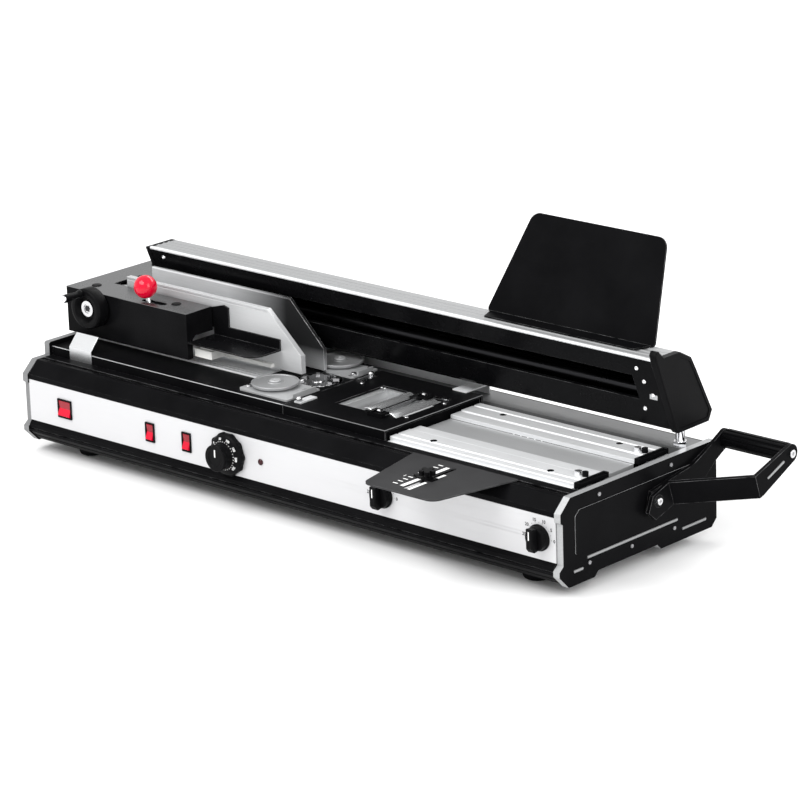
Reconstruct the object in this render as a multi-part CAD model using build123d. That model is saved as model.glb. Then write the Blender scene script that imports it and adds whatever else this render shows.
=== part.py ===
from build123d import *
import math
import os

# Desktop hot melt binding machine, in millimetres.
# X runs along the machine (left to right), Y from the front to the back, Z up from the table.
# The sketches below use the middle of the body for X and the end plates' front edge for Y.

# Body
BODY_LENGTH = 960.0
BODY_DEPTH = 306.0
END_PLATE = 10.0
PLATE_TOP = 128.0
PLATE_LOW = 14.0
PLATE_ARCH = 21.0
LEFT_PLATE_RISE = 18.5
LEFT_RISE_Y = 46.0
EMBOSS = 1.0
FOOT_RADIUS = 20.0
FOOT_X = 400.0
FRONT_FOOT_Y = 52.0
REAR_FOOT_Y = 256.0
SHEET = 2.0
PANEL_FRONT = 5.5
PANEL_BOTTOM = 46.5
PANEL_HEIGHT = 57.5
PANEL_SHEET = 1.5
RAIL_DEPTH = 50.0
REAR_RAIL_Y = 250.0
REAR_RAIL_DEPTH = 40.0
RAIL_HEIGHT = 24.0
INLET_X = -330.0
INLET_Z = 62.0
INLET_WIDTH = 48.0
INLET_HEIGHT = 28.0

# Working deck
DECK_RISE = 12.0
DECK_SHEET = 3.0
DECK_FRONT = 51.6
DECK_REAR = 239.0
DECK_SPLIT_X = -30.0
DECK_RIGHT_X = 149.5
SEAM = 0.5
ALIGN_FRONT = 112.0
ALIGN_REAR = 205.0
ALIGN_RIGHT_X = -136.0
ALIGN_SHEET = 2.3
WALL_Y = 276.0
WALL_RIGHT_X = 78.0
WALL_HEIGHT = 26.0
BRACKET_SHEET = 1.4

# Side discs and spine cutter
DISC_X = -90.0
FRONT_DISC_Y = 99.5
REAR_DISC_Y = 223.6
DISC_RADIUS = 32.0
DISC_THICKNESS = 6.4
DISC_POST_RADIUS = 6.0
SLIDE_SHEET = 2.3
SLIDE_LEFT_X = -124.0
SLIDE_RIGHT_X = -34.0
SLIDE_FLANGE = 5.0
FRONT_SLIDE_Y0 = 62.5
FRONT_SLIDE_Y1 = 127.0
REAR_SLIDE_Y0 = 187.0
REAR_SLIDE_Y1 = 236.0
KNOB_SCREW_X = -19.5
FRONT_SLIDE_TRAVEL = 10.0
REAR_SLIDE_TRAVEL = 8.0
CUTTER_X = -67.0
CUTTER_Y = 157.0
CUTTER_RADIUS = 28.0
CUTTER_THICKNESS = 7.0
CUTTER_TEETH = 8
SPINDLE_RADIUS = 5.0
MOTOR_RADIUS = 36.0
RUNNING = 0.05

# Glue station
GLUE_X0 = 18.5
GLUE_X1 = 126.5
GLUE_Y0 = 99.5
GLUE_Y1 = 191.5
POT_WALL = 6.0
POT_RIM = 4.0
POT_RIGHT_RIM = 1.5
POT_DEPTH = 54.0
ROLLER_RADIUS = 14.5
ROLLER_END = 7.0
LEFT_ROLLER_X = 71.0
ROLLER_PITCH = 38.0
ROLLER_PROUD = 2.2
JOURNAL_RADIUS = 4.0
BLADE_RADIUS = 1.8

# Nipping station
NIP_LEFT = 151.5
NIP_RIGHT = 455.0
NIP_MIDDLE_Y = 145.5
NIP_GAP = 57.0
NIP_JAW_DEPTH = 58.0
NIP_FLANGE = 8.0
NIP_JAW_TOP = 3.5
NIP_LIP = 6.0
NIP_LIP_LENGTH = 24.0
NIP_TRAVEL = 22.0
NIP_END_BAR = 8.0
NIP_SCREW_X = 208.0
NIP_SCREW_SPAN = 193.0
GUIDE_BAR_WIDTH = 16.0

# Press lever
PIVOT_Y = 176.5
PIVOT_Z = 83.8
SHAFT_RADIUS = 8.0
SHAFT_LEFT = 168.0
LEVER_TILT = 17.6
LEVER_LENGTH = 147.0
LEVER_STRIP = 5.0
LEVER_WIDTH = 32.0
LEVER_SPREAD = 98.0
LEVER_BEND = 77.0
LEVER_END = 12.0
LEVER_GAP = 2.0
GRIP_RADIUS = 12.5
GRIP_FLUTES = 12
CAM_RADIUS = 17.0
CAM_THROW = 5.0

# Cover gauge on the front rail
GAUGE_X = 302.5
GAUGE_SHEET = 2.0
GAUGE_BACK_Y = 33.0
GAUGE_REACH = 125.0
GAUGE_BACK_HALF = 86.0
GAUGE_FRONT_HALF = 58.0
GAUGE_SLOT_X = 300.0
GAUGE_SLOT_Y0 = -77.0
GAUGE_SLOT_Y1 = 18.0
GAUGE_SLOT_WIDTH = 8.0
POINTER_Y = -34.0

# Guide beam
BEAM_LEFT = -413.0
BEAM_LIFT = 29.0
BEAM_WALL = 4.0
BEAM_CAP = 10.0
BEAM_LEFT_CAP = 8.0
SLOT_LOW = 38.0
SLOT_HIGH = 73.0
POST_RADIUS = 6.0
POST_Y = 258.0
POST_INSET = 9.0
GUIDE_SHAFT_RADIUS = 10.0
GUIDE_SHAFT_Y = 248.0
GUIDE_SHAFT_LIFT = 39.0

# Rear support board
BOARD_X = 307.5
BOARD_BOTTOM = 277.0
BOARD_LEFT_INSET = 38.0
BOARD_RIGHT_INSET = 21.0
BOARD_HEIGHT = 137.0
BOARD_LEAN = 23.0
BOARD_FOLD_Y = 230.0
BOARD_FLANGE = 24.0

# Clamp trolley
TROLLEY_LEFT = -478.0
TROLLEY_RIGHT = -244.0
TROLLEY_FRONT = 91.0
TROLLEY_REAR = 262.0
TROLLEY_PLATE = 3.0
BOX_REAR = 139.0
BOX_HEIGHT = 63.5
BOX_SHEET = 2.0
PLATE_NECK_X = -434.0
BEARING_LENGTH = 50.0
BEARING_WIDTH = 36.0
JAW_LEFT = -412.0
JAW_RIGHT = -83.5
JAW_SLANT_X = -143.5
JAW_SLANT_Z = 173.0
FRONT_JAW_Y = 143.0
FRONT_JAW_THICKNESS = 8.0
FRONT_JAW_TOP = 227.5
FRONT_JAW_BOTTOM = 148.0
REAR_JAW_Y = 186.0
REAR_JAW_THICKNESS = 5.0
REAR_JAW_TOP = 232.5
REAR_JAW_BOTTOM = 142.7
JAW_TRAVEL = 32.0
SCREW_X = -420.0
SCREW_Z = 196.0
SCREW_RADIUS = 5.0
ROD_RADIUS = 5.0
NUT_DEPTH = 18.0
GUIDE_PLATE_Y = 196.0
TRAY_Z = 174.0
TRAY_RIGHT = -120.0
TRAY_UPSTAND = 16.0
WHEEL_RADIUS = 28.5
WHEEL_DEPTH = 20.0
CRANK_RADIUS = 22.0
CRANK_LENGTH = 34.0
LEVER_BALL_X = -337.0
LEVER_BALL_Y = 107.0
LEVER_BALL_Z = 233.8
LEVER_BALL_RADIUS = 16.0
CLAMP_PIVOT_X = -321.0
CLAMP_PIVOT_Z = 164.0

# Front panel controls
CONTROL_Z = 74.5
MAIN_ROCKER_X = -399.5
ROLLER_ROCKER_X = -233.5
CUTTER_ROCKER_X = -164.5
ROCKER_RADIUS = 11.2
MAIN_ROCKER_WIDTH = 22.0
SMALL_ROCKER_WIDTH = 12.0
ROCKER_SWING = 18.0
THERMOSTAT_X = -86.0
THERMOSTAT_RADIUS = 28.0
THERMOSTAT_HEIGHT = 27.0
LAMP_X = -28.5
LEFT_TIMER_X = 186.0
RIGHT_TIMER_X = 444.0
TIMER_RADIUS = 16.0

# Worked out from the sizes above
HALF = BODY_LENGTH / 2
INNER = HALF - END_PLATE
TRAY_TOP = PLATE_ARCH + SHEET
PANEL_TOP = PANEL_BOTTOM + PANEL_HEIGHT
RAIL_LOW = PLATE_TOP - RAIL_HEIGHT
DECK_TOP = PLATE_TOP + DECK_RISE
DECK_UNDER = DECK_TOP - DECK_SHEET
LEDGE_TOP = RAIL_LOW + 4.0
REAR_FACE = REAR_RAIL_Y + REAR_RAIL_DEPTH
BEAM_RIGHT = INNER
BEAM_BOTTOM = PLATE_TOP + BEAM_LIFT
BEAM_TOP = BEAM_BOTTOM + 102.0
SHAFT_Z = BEAM_BOTTOM + GUIDE_SHAFT_LIFT
TROLLEY_TOP = BEAM_BOTTOM + 58.0
BOX_LOW = TROLLEY_TOP - BOX_HEIGHT
ROLLER_Z = DECK_TOP + ROLLER_PROUD - ROLLER_RADIUS
NIP_TOP = PLATE_TOP + NIP_JAW_TOP
PLATFORM_TOP = NIP_TOP - NIP_LIP - 0.3
PLATFORM_LOW = PLATFORM_TOP - 6.0
RIGHT = (1, 0, 0)
BACK = (0, 1, 0)
UP = (0, 0, 1)
ARM_X = HALF + LEVER_GAP + LEVER_STRIP


def block(x0, x1, y0, y1, z0, z1):
    return Pos((x0 + x1) / 2, (y0 + y1) / 2, (z0 + z1) / 2) * Box(x1 - x0, y1 - y0, z1 - z0)


def along_x(points, x0, x1):
    return extrude(Plane.YZ.offset(x0) * Polygon(*points, align=None), x1 - x0, dir=RIGHT)


def along_y(points, y0, y1):
    return extrude(Plane.XZ.offset(-y0) * Polygon(*points, align=None), y1 - y0, dir=BACK)


def along_z(points, z0, z1):
    return extrude(Pos(0, 0, z0) * Polygon(*points, align=None), z1 - z0, dir=UP)


def rod_x(radius, x0, x1, y, z):
    return Pos((x0 + x1) / 2, y, z) * Rot(0, 90, 0) * Cylinder(radius, x1 - x0)


def rod_y(radius, x, y0, y1, z):
    return Pos(x, (y0 + y1) / 2, z) * Rot(90, 0, 0) * Cylinder(radius, y1 - y0)


def rod_z(radius, x, y, z0, z1):
    return Pos(x, y, (z0 + z1) / 2) * Cylinder(radius, z1 - z0)


def turned_z(points, x, y, z):
    """A body turned about an upright axis; the points are (radius, height)."""
    return Pos(x, y, z) * revolve(Plane.XZ * Polygon(*points, align=None), Axis.Z)


def turned_y(points, x, y, z):
    """A body turned about an axis along -Y; the points are (radius, distance to the front)."""
    return Pos(x, y, z) * Rot(90, 0, 0) * revolve(Plane.XZ * Polygon(*points, align=None), Axis.Z)


# End plates

def plate_outline(rise):
    """Side outline of an end plate: notched nose, arched foot, and a raised rear on the left one."""
    top = PLATE_TOP + rise
    points = [
        (0, 38), (0, 31), (17, PLATE_LOW), (66, PLATE_LOW), (73, PLATE_ARCH), (187, PLATE_ARCH),
        (194, PLATE_LOW), (BODY_DEPTH - 10, PLATE_LOW), (BODY_DEPTH, PLATE_LOW + 10),
        (BODY_DEPTH, top - 3), (BODY_DEPTH - 3, top),
    ]
    if rise:
        points += [(LEFT_RISE_Y + 2, top), (LEFT_RISE_Y, top - 2), (LEFT_RISE_Y, PLATE_TOP)]
    points += [(22, PLATE_TOP), (3.5, PLATE_TOP - 17), (3.5, 100), (7.5, 97), (7.5, PANEL_BOTTOM - 2.5)]
    return points


def right_end_plate():
    plate = along_x(plate_outline(0), INNER, HALF)
    emboss = Polygon((30, 52), (30, 102), (38, 109), (BODY_DEPTH - 18, 109), (BODY_DEPTH - 18, 52), align=None)
    emboss = fillet(emboss.vertices(), 4)
    plate += extrude(Plane.YZ.offset(HALF) * emboss, EMBOSS, dir=RIGHT)
    plate -= rod_x(SHAFT_RADIUS + RUNNING, INNER - 1, HALF + 5, PIVOT_Y, PIVOT_Z)
    for y0, y1, z in ((52, 228, 43.5), (236, 285, 28.5), (26, 45, 32)):
        groove = Plane.YZ.offset(HALF - 2) * Pos((y0 + y1) / 2, z) * SlotOverall(y1 - y0, 4.5)
        plate -= extrude(groove, 4, dir=RIGHT)
    return plate


def left_end_plate():
    return along_x(plate_outline(LEFT_PLATE_RISE), -HALF, -INNER)


# Rails, tray, panels and feet

def front_lower_rail():
    """Extruded sill under the front panel, with grooves along its nose."""
    profile = [
        (PANEL_FRONT + 0.5, PANEL_BOTTOM), (2, 41), (2, 36.5), (4, 35), (2, 33.5), (2, 31), (8, 25),
        (10.5, 25.5), (10.5, 22.5), (16, 17), (30, 17), (30, PLATE_ARCH), (17, PLATE_ARCH), (12, 26),
        (12, PANEL_BOTTOM + 7.5), (PANEL_FRONT + PANEL_SHEET, PANEL_BOTTOM + 7.5),
        (PANEL_FRONT + PANEL_SHEET, PANEL_BOTTOM),
    ]
    return along_x(profile, -INNER, INNER)


def front_upper_rail():
    """Extruded front shoulder: sloping face, flat land with a T slot, ledge for the deck's skirt."""
    top = PLATE_TOP
    profile = [
        (PANEL_FRONT, PANEL_TOP), (PANEL_FRONT, top - 17), (20, top - 1.5), (22, top), (28, top),
        (28, top - 3), (25, top - 3), (25, top - 9), (38, top - 9), (38, top - 3), (35, top - 3),
        (35, top), (RAIL_DEPTH, top), (RAIL_DEPTH, LEDGE_TOP), (DECK_FRONT + 8, LEDGE_TOP),
        (DECK_FRONT + 8, RAIL_LOW), (12, RAIL_LOW), (12, RAIL_LOW - 6),
        (PANEL_FRONT + PANEL_SHEET, RAIL_LOW - 6), (PANEL_FRONT + PANEL_SHEET, PANEL_TOP),
    ]
    return along_x(profile, -INNER, INNER)


def rear_rail():
    """Extruded rear rail that carries the deck's rear skirt, the splash wall and the beam posts."""
    profile = [
        (REAR_RAIL_Y, PLATE_TOP), (REAR_FACE, PLATE_TOP), (REAR_FACE, RAIL_LOW),
        (DECK_REAR - 6, RAIL_LOW), (DECK_REAR - 6, LEDGE_TOP), (REAR_RAIL_Y, LEDGE_TOP),
    ]
    rail = along_x(profile, -INNER, INNER)
    return rail - block(-INNER, INNER, REAR_RAIL_Y + 6, REAR_FACE - 6, RAIL_LOW + 4, PLATE_TOP - 4)


def base_tray():
    """Bottom tray folded up into the rear wall, with the bracket of the press shaft's inner end."""
    outside = REAR_FACE + SHEET
    tray = block(-INNER, INNER, 17, outside, PLATE_ARCH, TRAY_TOP)
    wall = block(-INNER, INNER, REAR_FACE, outside, TRAY_TOP, PLATE_TOP)
    half = INLET_WIDTH / 2
    tall = INLET_HEIGHT / 2
    wall -= block(INLET_X - half, INLET_X + half, REAR_FACE, outside, INLET_Z - tall, INLET_Z + tall)
    for start in (-180, 120):
        for step in range(8):
            vent = Plane.XZ.offset(-REAR_FACE) * Pos(start + 12 * step, 66) * SlotOverall(36, 4, rotation=90)
            wall -= extrude(vent, SHEET, dir=BACK)
    tray += wall
    for x in (-300, -100, 250, 400):
        for y in (100, 130, 160):
            slot = Pos(x, y, 0) * SlotOverall(60, 5)
            tray -= extrude(Pos(0, 0, PLATE_ARCH) * slot, SHEET, dir=UP)
    bracket = block(SHAFT_LEFT, SHAFT_LEFT + 8, PIVOT_Y - 16, PIVOT_Y + 16, TRAY_TOP, PIVOT_Z)
    bracket += rod_x(16, SHAFT_LEFT, SHAFT_LEFT + 8, PIVOT_Y, PIVOT_Z)
    bracket -= rod_x(SHAFT_RADIUS + RUNNING, SHAFT_LEFT, SHAFT_LEFT + 8, PIVOT_Y, PIVOT_Z)
    return tray + bracket


def control_holes():
    """Cut-outs of the front panel for the rockers, the lamp and the spindles of the knobs."""
    y0 = PANEL_FRONT
    y1 = PANEL_FRONT + PANEL_SHEET
    holes = rod_y(3, LAMP_X, y0, y1, CONTROL_Z)
    for x in (THERMOSTAT_X, LEFT_TIMER_X, RIGHT_TIMER_X):
        holes += rod_y(3 + RUNNING, x, y0, y1, CONTROL_Z)
    for x, width in rocker_places():
        half = width / 2 + 1.3
        tall = ROCKER_RADIUS + 1.3
        holes += block(x - half, x + half, y0, y1, CONTROL_Z - tall, CONTROL_Z + tall)
    return holes


def front_panel():
    y1 = PANEL_FRONT + PANEL_SHEET
    return block(-INNER, INNER, PANEL_FRONT, y1, PANEL_BOTTOM, PANEL_TOP) - control_holes()


def power_inlet():
    """Three-pin appliance inlet with its flange on the outside of the rear wall."""
    y = REAR_FACE + SHEET
    half = INLET_WIDTH / 2
    tall = INLET_HEIGHT / 2
    inlet = block(INLET_X - half, INLET_X + half, REAR_FACE - 16, y, INLET_Z - tall, INLET_Z + tall)
    inlet += block(INLET_X - half - 8, INLET_X + half + 8, y, y + 3, INLET_Z - tall - 1, INLET_Z + tall + 1)
    inlet -= block(INLET_X - 13, INLET_X + 13, y - 12, y + 3, INLET_Z - 9, INLET_Z + 9)
    for dx, dz in ((-6, -3), (6, -3), (0, 3)):
        inlet += block(INLET_X + dx - 1, INLET_X + dx + 1, y - 12, y - 1, INLET_Z + dz - 2, INLET_Z + dz + 2)
    return inlet


def feet():
    profile = [
        (0, 0), (FOOT_RADIUS - 6, 0), (FOOT_RADIUS - 3, 1.5), (FOOT_RADIUS - 1.5, 5),
        (FOOT_RADIUS, PLATE_ARCH - 3), (FOOT_RADIUS, PLATE_ARCH), (0, PLATE_ARCH),
    ]
    return [
        turned_z(profile, side * FOOT_X, y, 0)
        for side in (-1, 1) for y in (FRONT_FOOT_Y, REAR_FOOT_Y)
    ]


# Deck

def deck_shell(x0, x1, skirts):
    shell = block(x0, x1, DECK_FRONT, DECK_REAR, DECK_UNDER, DECK_TOP)
    shell += block(x0, x1, DECK_FRONT, DECK_FRONT + SHEET, LEDGE_TOP, DECK_UNDER)
    shell += block(x0, x1, DECK_REAR - SHEET, DECK_REAR, LEDGE_TOP, DECK_UNDER)
    for x in skirts:
        shell += block(x, x + SHEET, DECK_FRONT, DECK_REAR, LEDGE_TOP, DECK_UNDER)
    return shell


def slide_screw_places(front):
    """Two shoulder screws of a disc slide, clear of the disc over its travel."""
    if front:
        return [(SLIDE_LEFT_X + 7, FRONT_SLIDE_Y0 + 15), (SLIDE_RIGHT_X - 9, FRONT_DISC_Y + 8)]
    return [(SLIDE_RIGHT_X - 9, REAR_SLIDE_Y0 + 13), (SLIDE_RIGHT_X - 9, REAR_DISC_Y + 8)]


def deck_cover():
    """Folded deck sheet over the left half, open round the spine cutter."""
    deck = deck_shell(-INNER, DECK_SPLIT_X - SEAM, ())
    deck -= rod_z(CUTTER_RADIUS + 4, CUTTER_X, CUTTER_Y, DECK_UNDER, DECK_TOP)
    for x, y in slide_screw_places(True) + slide_screw_places(False):
        deck -= rod_z(2, x, y, DECK_UNDER, DECK_TOP)
    return deck


def glue_cover():
    """Removable cover of the glue station, open over the rollers."""
    cover = deck_shell(DECK_SPLIT_X, DECK_RIGHT_X, (DECK_RIGHT_X - 6,))
    return cover - block(GLUE_X0, GLUE_X1, GLUE_Y0, GLUE_Y1, DECK_UNDER, DECK_TOP)


def alignment_plate():
    """Ground plate under the clamp where the spine of the book is knocked level."""
    plate = block(-INNER + 6, ALIGN_RIGHT_X, ALIGN_FRONT, ALIGN_REAR, DECK_TOP, DECK_TOP + ALIGN_SHEET)
    front = plate.edges().filter_by(Axis.X).group_by(Axis.Z)[-1].sort_by(Axis.Y)[0]
    plate = chamfer(front, 1.2)
    for y in (ALIGN_FRONT + 6, ALIGN_FRONT + 13):
        plate -= block(-INNER + 6, ALIGN_RIGHT_X, y, y + 1.5, DECK_TOP + 1.3, DECK_TOP + ALIGN_SHEET)
    return plate


def splash_wall():
    """Upright sheet behind the cutter and the glue station, with a small corner bracket."""
    wall = block(-INNER, WALL_RIGHT_X, WALL_Y, WALL_Y + SHEET, PLATE_TOP, PLATE_TOP + WALL_HEIGHT)
    x0 = WALL_RIGHT_X + 26
    wall += block(WALL_RIGHT_X, x0 + 24, WALL_Y, WALL_Y + SHEET, PLATE_TOP, DECK_TOP + SHEET)
    wall += block(x0, x0 + 24, DECK_REAR - 8, WALL_Y, DECK_TOP, DECK_TOP + SHEET)
    return wall


def stop_bracket():
    """Bent silver guard on the deck's front edge."""
    y = DECK_FRONT
    z = DECK_TOP + 5
    profile = [
        (y, DECK_TOP - 15), (y, z), (y + 15, z + 17), (y + 13.8, z + 18), (y - BRACKET_SHEET, z + 1),
        (y - BRACKET_SHEET, DECK_TOP - 15),
    ]
    return along_x(profile, -434, -391)


# Side discs, cutter and motors

def disc_slide(y, front, near, far, travel):
    """Sliding plate of one side disc: slots for its screws, an upturned end and the disc's post."""
    z0 = DECK_TOP
    z1 = DECK_TOP + SLIDE_SHEET
    x0 = SLIDE_LEFT_X
    x1 = SLIDE_RIGHT_X
    if front:
        points = [(x0 + 5, near), (x1, near), (x1, far - 2), (x1 - 9, far - 2), (x1 - 23, far), (x0, far), (x0, near + 5)]
    else:
        points = [(x0, near + 14), (x0 + 44, near), (x1 - 4, near), (x1, near + 4), (x1, far), (x0, far)]
    plate = along_z(points, z0, z1)
    plate += block(x1 - 2, x1, near + 12, far - 8, z1, z1 + SLIDE_FLANGE)
    for x, screw_y in slide_screw_places(front):
        middle = screw_y + travel / 2 if front else screw_y - travel / 2
        slot = Pos(x, middle, z0) * SlotOverall(travel + 4.8, 4.4, rotation=90)
        plate -= extrude(slot, SLIDE_SHEET, dir=UP)
    top = z1 + 0.3 + DISC_THICKNESS + 0.2
    plate += rod_z(DISC_POST_RADIUS, DISC_X, y, z1, top)
    return plate + turned_z([(0, 0), (8, 0), (8, 1), (6.5, 2), (2.5, 2), (2.5, 0.8), (0, 0.8)], DISC_X, y, top)


def side_disc(y):
    """Guide disc with a raised rim, on a smaller hub that lifts it above the slide."""
    low = DECK_TOP + SLIDE_SHEET + 0.3
    bore = DISC_POST_RADIUS + RUNNING
    r = DISC_RADIUS
    t = DISC_THICKNESS
    profile = [
        (bore, 0), (r - 7, 0), (r - 7, t - 4.4), (r - 1.5, t - 4.4), (r - 1.5, t - 2.6), (r, t - 2.2),
        (r, t - 0.4), (r - 0.5, t), (r - 2.2, t), (r - 3, t - 1), (bore + 5, t - 1), (bore + 4, t), (bore, t),
    ]
    return turned_z(profile, DISC_X, y, low)


def spine_cutter():
    """Milling head: a disc with cutting teeth round its top, on a spindle."""
    low = DECK_TOP + 2.2 - CUTTER_THICKNESS
    head = rod_z(CUTTER_RADIUS, CUTTER_X, CUTTER_Y, low, low + CUTTER_THICKNESS - 2.2)
    head += rod_z(SPINDLE_RADIUS, CUTTER_X, CUTTER_Y, TRAY_TOP + 40, low)
    head += rod_z(9, CUTTER_X, CUTTER_Y, low, low + CUTTER_THICKNESS - 1)
    for step in range(CUTTER_TEETH):
        tooth = Pos(CUTTER_RADIUS - 5, 0, low + CUTTER_THICKNESS - 1.6) * Box(8, 5, 3.2)
        head += Pos(CUTTER_X, CUTTER_Y, 0) * Rot(0, 0, 360 / CUTTER_TEETH * step) * tooth
    for step in range(CUTTER_TEETH):
        angle = 360 / CUTTER_TEETH * (step + 0.5)
        gullet = Pos(CUTTER_RADIUS + 1, 0, low + CUTTER_THICKNESS / 2) * Cylinder(4, CUTTER_THICKNESS + 2)
        head -= Pos(CUTTER_X, CUTTER_Y, 0) * Rot(0, 0, angle) * gullet
    return head


def drive_motors():
    """Cutter motor standing under its spindle, and the geared motor of the glue rollers."""
    top = DECK_TOP - CUTTER_THICKNESS - 3
    motor = rod_z(MOTOR_RADIUS, CUTTER_X, CUTTER_Y, TRAY_TOP, top - 8)
    motor += rod_z(12, CUTTER_X, CUTTER_Y, top - 8, top)
    motor -= rod_z(SPINDLE_RADIUS + RUNNING, CUTTER_X, CUTTER_Y, TRAY_TOP + 39, top)
    for step in range(12):
        fin = Pos(MOTOR_RADIUS, 0, TRAY_TOP + 45) * Box(3, 5, 70)
        motor -= Pos(CUTTER_X, CUTTER_Y, 0) * Rot(0, 0, 30 * step) * fin
    gearmotor = block(GLUE_X0 + 12, GLUE_X0 + 72, 66, 120, TRAY_TOP, TRAY_TOP + 56)
    gearmotor += rod_y(18, GLUE_X0 + 42, 120, 138, TRAY_TOP + 28)
    return [motor, gearmotor]


# Glue station

def glue_pot():
    """Cast heated trough: a stepped rim, sloping end walls, roller bearings and four legs."""
    top = DECK_UNDER - 0.3
    low = top - POT_DEPTH
    floor = low + 2 * POT_WALL
    x0 = GLUE_X0 + POT_RIM
    x1 = GLUE_X1 - POT_RIGHT_RIM
    y0 = GLUE_Y0 + POT_RIM
    y1 = GLUE_Y1 - POT_RIM
    pot = block(GLUE_X0 - POT_WALL, GLUE_X1 + POT_WALL, GLUE_Y0 - POT_WALL, GLUE_Y1 + POT_WALL, low, top)
    hollow = [(x0, top), (x0, top - 2), (x0 + 2, top - 2), (x0 + 22, floor), (x1 - 14, floor), (x1 - 1, ROLLER_Z - 8), (x1, top)]
    pot -= along_y(hollow, y0, y1)
    for x in (LEFT_ROLLER_X, LEFT_ROLLER_X + ROLLER_PITCH):
        pot -= rod_y(JOURNAL_RADIUS + RUNNING, x, GLUE_Y0 - POT_WALL, GLUE_Y1 + POT_WALL, ROLLER_Z)
    for x in (GLUE_X0, GLUE_X1):
        for y in (GLUE_Y0 + 4, GLUE_Y1 - 4):
            pot += rod_z(5, x, y, TRAY_TOP, low)
    return pot


def glue_roller(x):
    """Roller with a recessed hub at each end, on journals that run in the pot's end walls."""
    y0 = GLUE_Y0 + POT_RIM + 1
    y1 = GLUE_Y1 - POT_RIM - 1
    roller = rod_y(ROLLER_RADIUS, x, y0, y1, ROLLER_Z)
    roller = chamfer(roller.edges().filter_by(GeomType.CIRCLE), 0.8)
    for a, b in ((y0, y0 + 3), (y1 - 3, y1)):
        roller -= rod_y(ROLLER_RADIUS - 3, x, a, b, ROLLER_Z) - rod_y(ROLLER_END, x, a, b, ROLLER_Z)
    return roller + rod_y(JOURNAL_RADIUS, x, GLUE_Y0 - POT_WALL - 3, GLUE_Y1 + POT_WALL + 3, ROLLER_Z)


def doctor_blade():
    """Scraper rod between the rollers, held in a clamp at each end, the rear one low under the fixed jaw's path."""
    x = LEFT_ROLLER_X + ROLLER_PITCH / 2 + 3
    rear = REAR_JAW_Y - 0.6
    blade = rod_y(BLADE_RADIUS, x, GLUE_Y0 - 10, rear, DECK_TOP + 2)
    for y0, y1 in ((GLUE_Y0 - 14, GLUE_Y0 + 1), (rear - 14, rear)):
        clamp = block(x - 5, x + 20, y0, y1, DECK_TOP + 3, DECK_TOP + 5.5)
        clamp += block(x - 5, x + 4, y0, y1, DECK_TOP + 5.5, DECK_TOP + 7.4)
        clamp -= block(x - 6, x - 2, y0, y1, DECK_TOP + 5.5, DECK_TOP + 7.4)
        blade += clamp
        blade += rod_z(3, x + 12, (y0 + y1) / 2, DECK_TOP + 5.5, DECK_TOP + 7.2)
    blade += block(x - 5, x + 20, GLUE_Y0 - 14, GLUE_Y0 - 8, DECK_TOP, DECK_TOP + 3)
    blade += block(x - 11, x + 7, rear - 14, GLUE_Y1 + 6, DECK_TOP, DECK_TOP + 2.4)
    blade += block(x - 5, x + 7, rear - 14, rear, DECK_TOP + 2.4, DECK_TOP + 3)
    return blade + block(x + 7, x + 40, GLUE_Y1 + 0.5, GLUE_Y1 + 6, DECK_TOP, DECK_TOP + 2)


# Nipping station

def nip_platform():
    """Flat platform for the cover's spine, on two cross bars that guide the jaws."""
    half = NIP_GAP / 2 - 0.5
    platform = block(NIP_LEFT, NIP_RIGHT, NIP_MIDDLE_Y - half, NIP_MIDDLE_Y + half, PLATFORM_LOW, PLATFORM_TOP)
    for x in (NIP_SCREW_X, NIP_SCREW_X + NIP_SCREW_SPAN):
        platform += block(x - GUIDE_BAR_WIDTH / 2, x + GUIDE_BAR_WIDTH / 2, RAIL_DEPTH, REAR_RAIL_Y,
                          LEDGE_TOP, PLATFORM_LOW)
    return platform


def nip_jaw(side):
    """Stepped extrusion that closes on the cover; side -1 is the front one."""
    low = PLATFORM_LOW + 0.3
    top = NIP_TOP
    lip = top - NIP_LIP
    inner = NIP_GAP / 2
    outer = inner + NIP_JAW_DEPTH
    section = [
        (inner, lip), (inner, top - 1.5), (inner + 1, top - 1), (inner + 18, top - 1), (inner + 19.5, top - 1.8),
        (inner + 21, top), (outer - 16, top), (outer - 15, top - 1.4), (outer - 13, top - 1.4),
        (outer - 12, top), (outer - 1, top), (outer, top - 1), (outer, top - 5.5), (outer + NIP_FLANGE, top - 5.5),
        (outer + NIP_FLANGE, low), (inner + NIP_LIP_LENGTH, low), (inner + NIP_LIP_LENGTH, lip),
    ]
    points = [(NIP_MIDDLE_Y + side * d, z) for d, z in section]
    jaw = along_x(points, NIP_LEFT, NIP_RIGHT)
    y = NIP_MIDDLE_Y + side * (outer - 20)
    for x in (NIP_SCREW_X, NIP_SCREW_X + NIP_SCREW_SPAN):
        jaw -= rod_z(4.5, x, y, top - 2.5, top)
        jaw += rod_z(3.4, x, y, top - 2.5, top - 1)
    return jaw


def nip_fittings(side):
    """Black end bar of a nipping jaw, and its stop screw with a small knob."""
    top = NIP_TOP
    inner = NIP_GAP / 2 + 1
    outer = NIP_GAP / 2 + NIP_JAW_DEPTH
    edges = sorted((NIP_MIDDLE_Y + side * inner, NIP_MIDDLE_Y + side * outer))
    bar = block(NIP_RIGHT, NIP_RIGHT + NIP_END_BAR, edges[0], edges[1], top - NIP_LIP, top + 1)
    bar -= block(NIP_RIGHT + 3, NIP_RIGHT + NIP_END_BAR, edges[0] + 4, edges[1] - 4, top - 1, top + 1)
    y = NIP_MIDDLE_Y + side * (outer - 29)
    hexagon = extrude(Pos(NIP_RIGHT - 17, y, top) * RegularPolygon(5, 6), 5, dir=UP)
    knob = rod_z(4, NIP_RIGHT - 6, y, top, top + 6)
    return [bar, hexagon, knob]


# Press lever

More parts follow.
